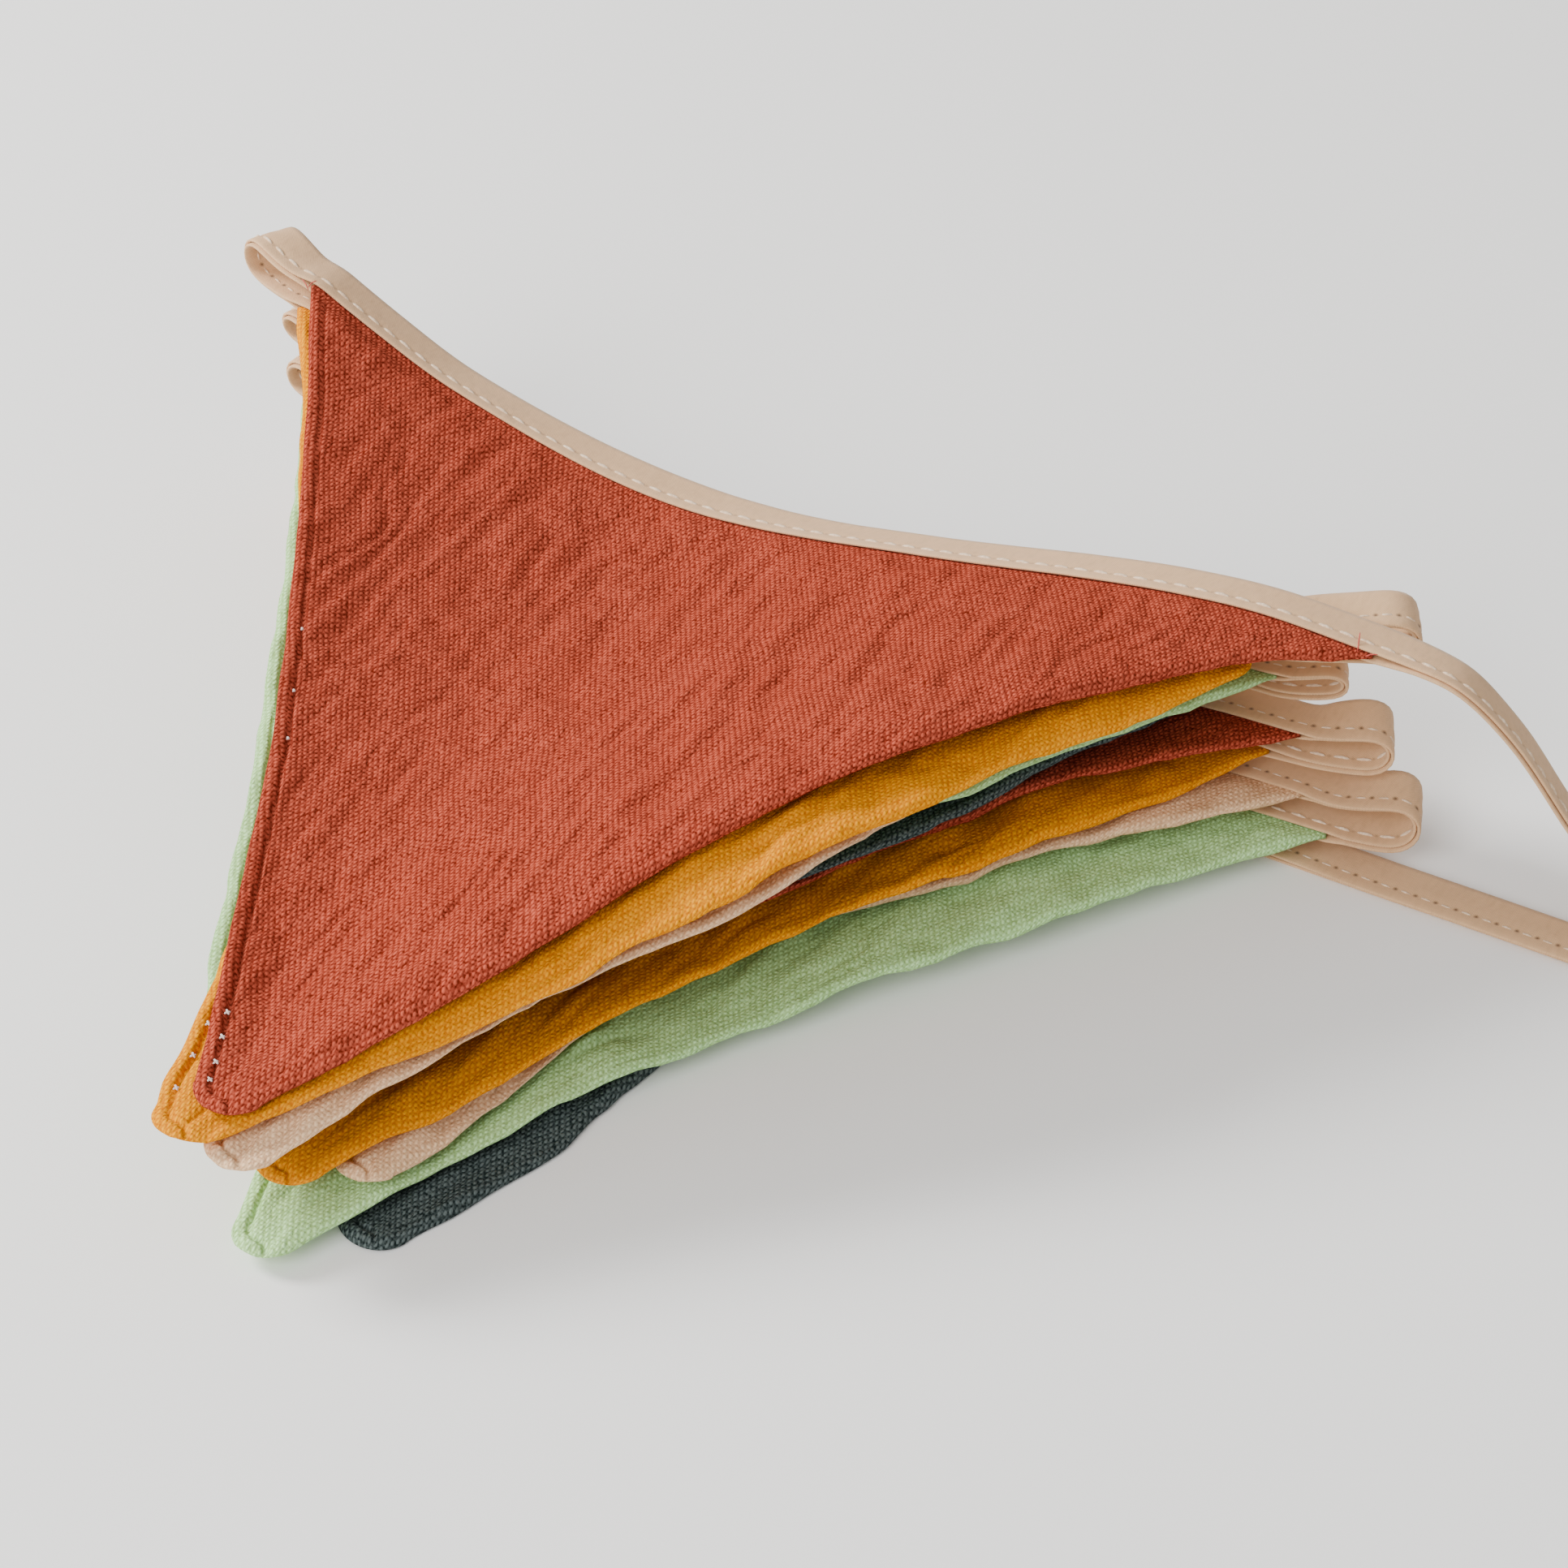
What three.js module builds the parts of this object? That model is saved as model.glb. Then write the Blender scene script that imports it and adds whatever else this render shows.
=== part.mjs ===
// A folded garland: ten triangular double-gauze flags sewn to one folded bias tape, which runs to and fro.
// Millimetres, +Z up. The tape's runs lie along X, the flags' tips point to -Y, and the pile stands on z = 0.
import * as THREE from "three";

// Cloth and tape
const FLAG_THICK = 1.6;
const TIP_RADIUS = 6.5;
const TAPE_WIDTH = 8;
const TAPE_THICK = 1.4;
const TAPE_REST = TAPE_THICK / 2;
const SEAM_GAP = 0.3;

// Steps of the meshes
const STEPS_ACROSS = 12;
const STEPS_DOWN = 12;
const STEPS_ROUND_TIP = 3;
const RUN_STEP = 9;
const LOOP_STEP = 3;
const LOOP_STEPS_ROUND = 5;

// A flag's closer rows start at this share of the tip's radius, and the last one stops short of the end
const TIP_ROWS_FROM = 0.5;
const TIP_ROWS_SHORT = 0.35;

// The pile in plan: a reference triangle on which its height is laid out, never narrower than its last tenth
const PILE_LEFT = -98;
const PILE_RIGHT = 84;
const PILE_BACK = 22;
const PILE_TIP_X = -18;
const PILE_TIP_Y = -122;
const PILE_NARROWS_TO = 0.95;

// Height of the top flag's middle along the pile's three edges, each edge read from 0 to 1
const RISE_ALONG_TAPE = [
  { at: 0, height: 46 },
  { at: 0.06, height: 41 },
  { at: 0.14, height: 35.3 },
  { at: 0.3, height: 28.7 },
  { at: 0.42, height: 28 },
  { at: 0.6, height: 33 },
  { at: 0.8, height: 39.5 },
  { at: 0.9, height: 41 },
  { at: 1, height: 39.5 },
];
const RISE_ALONG_SIDE = [
  { at: 0, height: 46 },
  { at: 0.15, height: 38.5 },
  { at: 0.3, height: 34 },
  { at: 0.75, height: 26 },
  { at: 1, height: 22 },
];
const RISE_ALONG_FRONT = [
  { at: 0, height: 39.5 },
  { at: 0.12, height: 42 },
  { at: 0.3, height: 43.5 },
  { at: 0.55, height: 40 },
  { at: 0.8, height: 30 },
  { at: 1, height: 22 },
];

// Flags from the top one down. left and right are the corners at the tape, tip is the rounded point, all in
// plan. front holds how far the front edge swells to the right of its straight line at FRONT_AT, and side how
// far the left edge swells to the left at SIDE_AT. turn is the phase of the flag's soft waves.
const FRONT_AT = [0.08, 0.3, 0.55, 0.8];
const SIDE_AT = [0.2, 0.6];
const FLAGS = [
  { cloth: "terracotta", left: [-98, 22.5], right: [83.5, 22.5], tip: [-17, -122.5],
    front: [-6.5, -8, -7, -1.5], side: [-2, -3.5], turn: 0 },
  { cloth: "mustard", left: [-101, 22.5], right: [63, 24.5], tip: [-20.5, -127.5],
    front: [11, 12, 12, 6], side: [-5, -10], turn: 2.1 },
  { cloth: "sand", left: [-101, 25], right: [65, 25], tip: [-13, -126.5],
    front: [4, 2, 5, -1], side: [-6, -12], turn: 4.4 },
  { cloth: "mint", left: [-102, 26], right: [67.5, 26.5], tip: [-21, -121.5],
    front: [0, 1, -1, 0], side: [-1.5, -2.2], turn: 1.2 },
  { cloth: "charcoal", left: [-101, 26], right: [60, 28.5], tip: [-16, -112],
    front: [1.5, 5.5, 3, 1], side: [-3, -5], turn: 5.3 },
  { cloth: "terracotta", left: [-100.5, 26], right: [72, 26.5], tip: [-17, -114],
    front: [-3, -9, -4, -1], side: [-3, -5], turn: 3.3 },
  { cloth: "mustard", left: [-98, 25], right: [67.5, 26], tip: [-11.5, -118],
    front: [0.5, 0, -4.5, -1.5], side: [-3, -5], turn: 0.7 },
  { cloth: "sand", left: [-97, 24.5], right: [74, 24.5], tip: [-3.5, -111],
    front: [-2.5, -8, -11, -3], side: [-3, -8], turn: 2.9 },
  { cloth: "mint", left: [-96, 23], right: [79, 22.5], tip: [-10, -126.5],
    front: [-3, -4.5, -8, -5], side: [-1, -12], turn: 5.9 },
  { cloth: "charcoal", left: [-96, 20], right: [72, 19.7], tip: [0.5, -116],
    front: [-15, -14, -13, -3], side: [0, -2], turn: 0 },
];
const LAST_LAYER = FLAGS.length - 1;
const CLOTH_COLOURS = {
  terracotta: 0xb5533c,
  mustard: 0xd99413,
  sand: 0xcdb5a2,
  mint: 0xaac9a4,
  charcoal: 0x3c4442,
};
const TAPE_COLOUR = 0xc5ad95;
const CLOTH_ROUGHNESS = 0.95;

// Soft waves of a flag: one long swell, as a share of the room that a layer has
const WAVE_SHARE = 0.22;
const WAVE_ACROSS = 0.07;
const WAVE_DOWN = 0.045;
const LAYER_ROOM = 2.15;

// How far the top run's back edge leans down, in radians from left to right, and the bow of a run in plan
const TOP_LEAN_AT = [0, 0.15, 0.34, 0.52, 0.8, 1];
const TOP_LEAN = [0.12, 0.15, 0.03, 0.16, 0.06, 0.05];
const RUN_BOW = 2.5;

// Loops between the runs, from the top one down: the side of the pile, how far the tape runs on past the
// corners, its turn backwards in plan, its swell beyond the two runs' own distance, its lift and its lean
const LOOPS = [
  { side: "left", reach: 10.5, turn: 0.38, swell: 0.8, lift: 1.2, lean: 0.05 },
  { side: "right", reach: 20, turn: 0.47, swell: 1, lift: 1, lean: -0.05 },
  { side: "left", reach: 3, turn: 0.38, swell: 0.4, lift: 0.4, lean: 0.05 },
  { side: "right", reach: 7.5, turn: 0.45, swell: 0.3, lift: 1.1, lean: -0.05 },
  { side: "left", reach: 1.5, turn: 0.34, swell: 0.4, lift: 0.4, lean: 0 },
  { side: "right", reach: 11, turn: 0.42, swell: 0.7, lift: 0, lean: -0.2 },
  { side: "left", reach: 1.5, turn: 0.34, swell: 0.4, lift: 0, lean: 0 },
  { side: "right", reach: 10, turn: 0.36, swell: 1, lift: 0.2, lean: -0.16 },
  { side: "left", reach: 3, turn: 0.3, swell: 0.4, lift: 0.4, lean: 0 },
];
const LOOP_VEER_LENGTH = 8;
const LOOP_START_TURN = 0.12;

// Free ends of the tape: rows from the pile outwards, on the line of the tape's front edge
const TOP_TAIL = [
  { x: 90, y: 22.8, z: 39.4, lean: 0.14 },
  { x: 96, y: 22.9, z: 38.5, lean: 0.22 },
  { x: 101, y: 23.3, z: 35.4, lean: 0.28 },
  { x: 106.5, y: 24, z: 30, lean: 0.3 },
  { x: 111, y: 24.8, z: 23.6, lean: 0.32 },
  { x: 115, y: 25.5, z: 18, lean: 0.3 },
  { x: 124, y: 27, z: 8.5, lean: 0.2 },
  { x: 132, y: 28.5, z: 3.1, lean: 0.08 },
  { x: 141, y: 30, z: TAPE_REST, lean: 0 },
  { x: 148, y: 31.1, z: TAPE_REST, lean: 0 },
  { x: 156, y: 32.4, z: TAPE_REST, lean: 0 },
];
const BOTTOM_TAIL = [
  { x: 84, y: 19.4, z: TAPE_REST, lean: 0 },
  { x: 104, y: 19.2, z: TAPE_REST, lean: 0 },
  { x: 131, y: 18.8, z: TAPE_REST, lean: 0 },
];

function mix(a, b, share) {
  return a + (b - a) * share;
}

function clamp(value, low, high) {
  return Math.min(Math.max(value, low), high);
}

// A parabola over 0 to 1, which is 0 at both ends and 1 in the middle
function hump(across) {
  return 4 * across * (1 - across);
}

// A smooth curve through values given at us: cubic pieces, each with its neighbours' slopes at its ends
function smooth(us, values, u) {
  const slopes = values.map((value, i) => {
    const before = Math.max(i - 1, 0);
    const after = Math.min(i + 1, values.length - 1);
    return (values[after] - values[before]) / (us[after] - us[before]);
  });
  let i = 0;
  while (i < us.length - 2 && u > us[i + 1]) i++;
  const span = us[i + 1] - us[i];
  const q = (u - us[i]) / span;
  const rise = values[i + 1] - values[i];
  const start = slopes[i] * span;
  const end = slopes[i + 1] * span;
  return values[i] + q * start + q ** 2 * (3 * rise - 2 * start - end) + q ** 3 * (start + end - 2 * rise);
}

function heightAlong(rows, at) {
  return smooth(rows.map((row) => row.at), rows.map((row) => row.height), at);
}

// Height of the top flag's middle over a point of the plan, blended from the pile's three edges
function pileTop(x, y) {
  const down = clamp((PILE_BACK - y) / (PILE_BACK - PILE_TIP_Y), 0, 1);
  const narrowed = Math.min(down, PILE_NARROWS_TO);
  const leftX = mix(PILE_LEFT, PILE_TIP_X, narrowed);
  const rightX = mix(PILE_RIGHT, PILE_TIP_X, narrowed);
  const across = clamp((x - leftX) / (rightX - leftX), 0, 1);
  const leftCorner = heightAlong(RISE_ALONG_TAPE, 0);
  const rightCorner = heightAlong(RISE_ALONG_TAPE, 1);
  const tip = heightAlong(RISE_ALONG_SIDE, 1);
  const fromSides = mix(heightAlong(RISE_ALONG_SIDE, down), heightAlong(RISE_ALONG_FRONT, down), across);
  const fromEnds = mix(heightAlong(RISE_ALONG_TAPE, across), tip, down);
  const fromCorners = mix(mix(leftCorner, rightCorner, across), tip, down);
  return fromSides + fromEnds - fromCorners;
}

// Height of a layer's middle: layer 0 is the top flag, and the last one lies flat on the surface
function layerHeight(layer, x, y, lowest) {
  return lowest + (pileTop(x, y) - lowest) * (1 - layer / LAST_LAYER);
}

function flagHeight(layer, x, y) {
  const plain = layerHeight(layer, x, y, FLAG_THICK / 2);
  if (layer === LAST_LAYER) return plain;
  const room = pileTop(x, y) / LAST_LAYER - LAYER_ROOM;
  return plain + WAVE_SHARE * room * Math.sin(WAVE_ACROSS * x + WAVE_DOWN * y + FLAGS[layer].turn);
}

// Plan outline of a flag: a function that gives its left and front edges, and its bow, at a share of the way
// down from tape to tip. The two sides run straight to an inscribed round tip before they swell.
function flagOutline(flag) {
  const left = new THREE.Vector2(...flag.left);
  const right = new THREE.Vector2(...flag.right);
  const tip = new THREE.Vector2(...flag.tip);
  const middle = left.clone().lerp(right, 0.5);
  const acrossWay = right.clone().sub(left).normalize();
  const halfTape = left.distanceTo(right) / 2;
  const length = middle.distanceTo(tip);
  const sharp = Math.atan(halfTape / length);
  const beyond = TIP_RADIUS / Math.sin(sharp) - TIP_RADIUS;
  const apex = Math.atan(halfTape / (length + beyond));
  return (down) => {
    const toTip = (1 - down) * length;
    const isRound = toTip < TIP_RADIUS * (1 - Math.sin(apex));
    const roundHalf = Math.sqrt(TIP_RADIUS ** 2 - (TIP_RADIUS - toTip) ** 2);
    const half = isRound ? roundHalf : (toTip + beyond) * Math.tan(apex);
    const axis = middle.clone().lerp(tip, down);
    const sideSwell = smooth([0, ...SIDE_AT, 1], [0, ...flag.side, 0], down);
    const frontSwell = smooth([0, ...FRONT_AT, 1], [0, ...flag.front, 0], down);
    return {
      left: axis.clone().addScaledVector(acrossWay, -half - sideSwell),
      right: axis.clone().addScaledVector(acrossWay, half + frontSwell),
      bow: RUN_BOW * (1 - down) ** 2,
    };
  };
}

// Shares of the way down at which a flag has a row of points: even ones, then closer round the tip
function flagRows(flag) {
  const middleX = (flag.left[0] + flag.right[0]) / 2;
  const middleY = (flag.left[1] + flag.right[1]) / 2;
  const length = Math.hypot(middleX - flag.tip[0], middleY - flag.tip[1]);
  const roundFrom = 1 - (TIP_RADIUS * TIP_ROWS_FROM) / length;
  const rows = [];
  for (let i = 0; i <= STEPS_DOWN; i++) rows.push((roundFrom * i) / STEPS_DOWN);
  for (let i = 1; i <= STEPS_ROUND_TIP; i++) {
    const rest = 1 - i / (STEPS_ROUND_TIP + TIP_ROWS_SHORT);
    rows.push(1 - (1 - roundFrom) * rest * rest);
  }
  return rows;
}

// A closed sheet over a grid of middle points, with square rims
function sheetGeometry(grid, thick) {
  const rows = grid.length;
  const columns = grid[0].length;
  const lastRow = rows - 1;
  const lastColumn = columns - 1;
  const point = (r, c) => grid[clamp(r, 0, lastRow)][clamp(c, 0, lastColumn)];
  const positions = [];
  for (const side of [1, -1]) {
    for (let r = 0; r < rows; r++) {
      for (let c = 0; c < columns; c++) {
        const alongRow = point(r, c + 1).clone().sub(point(r, c - 1));
        const downRows = point(r + 1, c).clone().sub(point(r - 1, c));
        const normal = downRows.cross(alongRow).normalize();
        positions.push(...point(r, c).clone().addScaledVector(normal, (side * thick) / 2).toArray());
      }
    }
  }
  const top = (r, c) => r * columns + c;
  const under = (r, c) => (rows + r) * columns + c;
  const faces = [];
  const quad = (a, b, c, d) => faces.push(a, b, c, a, c, d);
  for (let r = 0; r < lastRow; r++) {
    for (let c = 0; c < lastColumn; c++) {
      quad(top(r, c), top(r + 1, c), top(r + 1, c + 1), top(r, c + 1));
      quad(under(r, c), under(r, c + 1), under(r + 1, c + 1), under(r + 1, c));
    }
    quad(top(r, 0), under(r, 0), under(r + 1, 0), top(r + 1, 0));
    quad(top(r + 1, lastColumn), under(r + 1, lastColumn), under(r, lastColumn), top(r, lastColumn));
  }
  for (let c = 0; c < lastColumn; c++) {
    quad(top(0, c + 1), under(0, c + 1), under(0, c), top(0, c));
    quad(top(lastRow, c), under(lastRow, c), under(lastRow, c + 1), top(lastRow, c + 1));
  }
  const geometry = new THREE.BufferGeometry();
  geometry.setAttribute("position", new THREE.Float32BufferAttribute(positions, 3));
  geometry.setIndex(faces);
  geometry.computeVertexNormals();
  return geometry;
}

function clothMesh(name, geometry, color) {
  const material = new THREE.MeshStandardMaterial({ color, roughness: CLOTH_ROUGHNESS, metalness: 0 });
  const mesh = new THREE.Mesh(geometry, material);
  mesh.name = name;
  return mesh;
}

function flagGrid(layer) {
  const flag = FLAGS[layer];
  const outline = flagOutline(flag);
  return flagRows(flag).map((down) => {
    const row = outline(down);
    const points = [];
    for (let i = 0; i <= STEPS_ACROSS; i++) {
      const across = i / STEPS_ACROSS;
      const place = row.left.clone().lerp(row.right, across);
      const y = place.y - row.bow * hump(across);
      points.push(new THREE.Vector3(place.x, y, flagHeight(layer, place.x, y)));
    }
    return points;
  });
}

function flagMesh(layer) {
  const { cloth } = FLAGS[layer];
  const name = `flag_${String(layer + 1).padStart(2, "0")}_${cloth}`;
  return clothMesh(name, sheetGeometry(flagGrid(layer), FLAG_THICK), CLOTH_COLOURS[cloth]);
}

// A station of the tape: the middle of its front edge, and the way its width runs from there
function station(x, y, z, turn, lean) {
  const widthWay = new THREE.Vector3(
    Math.sin(turn) * Math.cos(lean),
    Math.cos(turn) * Math.cos(lean),
    -Math.sin(lean),
  );
  return { point: new THREE.Vector3(x, y, z), widthWay };
}

// Where the front edge of a run is, over a given x
function runPlace(layer, x) {
  const { left, right } = FLAGS[layer];
  const across = (x - left[0]) / (right[0] - left[0]);
  const y = mix(left[1], right[1], across) - RUN_BOW * hump(clamp(across, 0, 1));
  return { y: y + SEAM_GAP, z: layerHeight(layer, x, y, TAPE_REST) };
}

function runLean(layer, x) {
  const across = clamp((x - PILE_LEFT) / (PILE_RIGHT - PILE_LEFT), 0, 1);
  return smooth(TOP_LEAN_AT, TOP_LEAN, across) * (1 - layer / LAST_LAYER);
}

function runStations(layer, fromX, toX) {
  const steps = Math.ceil(Math.abs(toX - fromX) / RUN_STEP);
  const stations = [];
  for (let i = 0; i <= steps; i++) {
    const x = mix(fromX, toX, i / steps);
    const { y, z } = runPlace(layer, x);
    stations.push(station(x, y, z, 0, runLean(layer, x)));
  }
  return stations;
}

// The path of a loop in plan, from the corners outwards and ever more backwards
function loopPlan(reach, turn) {
  const steps = Math.ceil(reach / LOOP_STEP);
  const step = reach / steps;
  const plan = [{ x: 0, y: 0, turn: 0 }];
  for (let i = 1; i <= steps; i++) {
    const last = plan[i - 1];
    const turned = mix(LOOP_START_TURN, turn, Math.min((i * step) / LOOP_VEER_LENGTH, 1));
    plan.push({ x: last.x + step * Math.cos(turned), y: last.y + step * Math.sin(turned), turn: turned });
  }
  return plan;
}

// The loop from the run of a layer to the one below it: out along the upper run, round, and back
function loopStations(layer, startX) {
  const { side, reach, turn, swell, lift, lean: endLean } = LOOPS[layer];
  const outward = side === "left" ? -1 : 1;
  const upper = runPlace(layer, startX);
  const lower = runPlace(layer + 1, startX);
  const radius = (upper.z - lower.z) / 2 + swell;
  const centre = (upper.z + lower.z) / 2 + lift;
  const plan = loopPlan(reach, turn);
  const steps = plan.length - 1;
  const end = plan[steps];
  const place = (node, height, share) => {
    const y = mix(upper.y, lower.y, share) + node.y;
    const startLean = mix(runLean(layer, startX), runLean(layer + 1, startX), share);
    const lean = mix(startLean, endLean, node.turn / turn);
    return station(startX + outward * node.x, y, height, -outward * node.turn, lean);
  };
  const stations = [];
  for (let i = 1; i < steps; i++) {
    stations.push(place(plan[i], mix(upper.z, centre + radius, i / steps), 0));
  }
  for (let i = 0; i <= LOOP_STEPS_ROUND; i++) {
    const angle = (Math.PI * i) / LOOP_STEPS_ROUND;
    const out = radius * Math.sin(angle);
    const x = end.x + out * Math.cos(end.turn);
    const y = end.y + out * Math.sin(end.turn);
    const node = { x, y, turn: end.turn };
    stations.push(place(node, centre + radius * Math.cos(angle), i / LOOP_STEPS_ROUND));
  }
  for (let i = steps - 1; i > 0; i--) {
    stations.push(place(plan[i], mix(lower.z, centre - radius, i / steps), 1));
  }
  return stations;
}

function tailStations(rows) {
  return rows.map((row, i) => {
    const before = rows[Math.max(i - 1, 0)];
    const after = rows[Math.min(i + 1, rows.length - 1)];
    const turn = -Math.atan2(after.y - before.y, after.x - before.x);
    return station(row.x, row.y, row.z, turn, row.lean);
  });
}

// Where a loop leaves the flags: at the outer one of the two corners that it joins
function loopStart(layer) {
  const [upper, lower] = [FLAGS[layer], FLAGS[layer + 1]];
  if (LOOPS[layer].side === "left") return Math.min(upper.left[0], lower.left[0]);
  return Math.max(upper.right[0], lower.right[0]);
}

// The whole tape, from the free end of the top run to the free end of the bottom one
function tapeStations() {
  const stations = tailStations(TOP_TAIL).reverse();
  let fromX = FLAGS[0].right[0];
  for (let layer = 0; layer < LAST_LAYER; layer++) {
    const toX = loopStart(layer);
    stations.push(...runStations(layer, fromX, toX));
    stations.push(...loopStations(layer, toX));
    fromX = toX;
  }
  stations.push(...runStations(LAST_LAYER, fromX, FLAGS[LAST_LAYER].right[0]));
  stations.push(...tailStations(BOTTOM_TAIL));
  return stations;
}

// The tape's middle surface is a grid of two columns, its front edge and its back edge
function tapeMesh() {
  const grid = tapeStations().map(({ point, widthWay }) => [
    point,
    point.clone().addScaledVector(widthWay, TAPE_WIDTH),
  ]);
  return clothMesh("tape", sheetGeometry(grid, TAPE_THICK), TAPE_COLOUR);
}

// The origin is under the middle of the whole garland
const bunting = new THREE.Group();
FLAGS.forEach((flag, layer) => bunting.add(flagMesh(layer)));
bunting.add(tapeMesh());
const middle = new THREE.Box3().setFromObject(bunting).getCenter(new THREE.Vector3());
bunting.position.set(-middle.x, -middle.y, 0);

export default bunting;
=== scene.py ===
"""The folded bunting, dressed: ten crinkled gauze flags on a folded, stitched tape, in a plain studio.

Sizes are millimetres in the pile's own frame: the tape's runs lie along X, the flags' tips point to -Y
and the pile stands on z = 0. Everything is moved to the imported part's frame, and turned into metres, as
it is built.
"""

import logging
import math
from dataclasses import dataclass, field
from enum import Enum
from typing import Any, Sequence

import bpy
import numpy as np
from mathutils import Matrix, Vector


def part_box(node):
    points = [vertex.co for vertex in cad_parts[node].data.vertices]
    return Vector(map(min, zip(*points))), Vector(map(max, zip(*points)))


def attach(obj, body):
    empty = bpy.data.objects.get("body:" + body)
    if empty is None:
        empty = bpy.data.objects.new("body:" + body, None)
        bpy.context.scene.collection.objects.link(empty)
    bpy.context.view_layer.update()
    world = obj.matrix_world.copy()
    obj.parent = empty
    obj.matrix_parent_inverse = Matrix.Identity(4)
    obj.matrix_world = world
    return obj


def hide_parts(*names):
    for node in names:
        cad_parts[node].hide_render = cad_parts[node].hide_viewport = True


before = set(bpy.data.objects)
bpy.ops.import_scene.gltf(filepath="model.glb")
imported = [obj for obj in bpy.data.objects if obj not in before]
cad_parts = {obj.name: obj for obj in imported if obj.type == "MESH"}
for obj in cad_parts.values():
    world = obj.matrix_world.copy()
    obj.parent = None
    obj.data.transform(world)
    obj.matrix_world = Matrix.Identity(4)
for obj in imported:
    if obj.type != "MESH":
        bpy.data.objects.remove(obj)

LOG = logging.getLogger("bunting")
MM = 0.001
BODY = "root"
Array = np.ndarray
Rgba = tuple[float, float, float, float]


def mix(a: Any, b: Any, share: Any) -> Any:
    """A value between a and b, at a share of the way."""
    return a + (b - a) * share


def hump(share: Any) -> Any:
    """A parabola over 0 to 1, which is 0 at both ends and 1 in the middle."""
    return 4 * share * (1 - share)


def ease(share: Any) -> Any:
    """A soft step from 0 to 1, held at both ends."""
    held = np.clip(share, 0, 1)
    return held * held * (3 - 2 * held)


def bell(offset: Any, width: float) -> Any:
    """A soft bump, 1 at an offset of 0 and nearly gone at twice its width."""
    return np.exp(-((offset / width) ** 2))


def smooth(us: Sequence[float], values: Sequence[float], u: Any) -> Any:
    """A smooth curve through values: cubic pieces, each with its neighbours' slopes at its ends.

    Args:
        us: The places of the values, rising.
        values: The values.
        u: Where the curve is read.

    Returns:
        The curve's value at each u.
    """
    us = np.asarray(us, float)
    values = np.asarray(values, float)
    index = np.arange(len(us))
    before = np.maximum(index - 1, 0)
    after = np.minimum(index + 1, len(us) - 1)
    slopes = (values[after] - values[before]) / (us[after] - us[before])
    i = np.clip(np.searchsorted(us, u, side="left") - 1, 0, len(us) - 2)
    span = us[i + 1] - us[i]
    q = (u - us[i]) / span
    rise = values[i + 1] - values[i]
    start = slopes[i] * span
    end = slopes[i + 1] * span
    return values[i] + q * start + q**2 * (3 * rise - 2 * start - end) + q**3 * (start + end - 2 * rise)


@dataclass
class Unevenness:
    """Soft random values over a plane or along a line, the same each time for one seed.

    Attributes:
        seed: What the values are drawn from.
        size: How many cells they repeat after.
    """

    seed: int
    size: int = 128
    table: Array = field(init=False)

    def __post_init__(self) -> None:
        """Draws the table of values."""
        self.table = np.random.default_rng(self.seed).uniform(-1, 1, (self.size, self.size))

    def at(self, x: Any, y: Any = 0.0) -> Array:
        """The value at a place, from -1 to 1.

        Args:
            x: First coordinate, in cells.
            y: Second coordinate, in cells.

        Returns:
            The values.
        """
        x, y = np.broadcast_arrays(np.asarray(x, float), np.asarray(y, float))
        x0 = np.floor(x).astype(int)
        y0 = np.floor(y).astype(int)
        across = ease(x - x0)
        down = ease(y - y0)
        x1, y1 = (x0 + 1) % self.size, (y0 + 1) % self.size
        x0, y0 = x0 % self.size, y0 % self.size
        upper = mix(self.table[x0, y0], self.table[x1, y0], across)
        lower = mix(self.table[x0, y1], self.table[x1, y1], across)
        return mix(upper, lower, down)

    def over(self, x: Any, y: Any, cell: tuple[float, float]) -> Array:
        """The value at a place in millimetres, for cells of that size on X and on Y."""
        return self.at(x / cell[0], y / cell[1])


def build_mesh(
    name: str,
    points: Array,
    faces: list[list[int]],
    uvs: dict[str, Array],
    material: bpy.types.Material,
) -> bpy.types.Object:
    """Makes a smooth-shaded object from points in millimetres of the pile's frame.

    Args:
        name: The object's name.
        points: One row per vertex.
        faces: Vertex numbers of each face.
        uvs: For each UV map, one row per face corner.
        material: Its material.

    Returns:
        The object, at the origin, linked to the scene.
    """
    mesh = bpy.data.meshes.new(name)
    mesh.from_pydata(((points + shift_of_pile()) * MM).tolist(), [], faces)
    mesh.shade_smooth()
    for map_name, corners in uvs.items():
        layer = mesh.uv_layers.new(name=map_name)
        layer.data.foreach_set("uv", corners.astype(np.float32).ravel())
    mesh.materials.append(material)
    piece = bpy.data.objects.new(name, mesh)
    bpy.context.scene.collection.objects.link(piece)
    return piece


class Cloth(Enum):
    """The gauze colours."""

    TERRACOTTA = "terracotta"
    MUSTARD = "mustard"
    SAND = "sand"
    MINT = "mint"
    CHARCOAL = "charcoal"


class Side(Enum):
    """The two sides of the pile that the tape turns round at, with the way outwards along X."""

    LEFT = -1
    RIGHT = 1


@dataclass(frozen=True)
class Rise:
    """Heights along one edge of the pile.

    Attributes:
        at: Places along the edge, from 0 to 1.
        height: The top flag's middle there.
    """

    at: tuple[float, ...]
    height: tuple[float, ...]

    def along(self, share: Any) -> Any:
        """The height at a share of the edge."""
        return smooth(self.at, self.height, share)


FOLDS_ABOVE = Unevenness(501)
FOLDS_BELOW = Unevenness(502)


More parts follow.
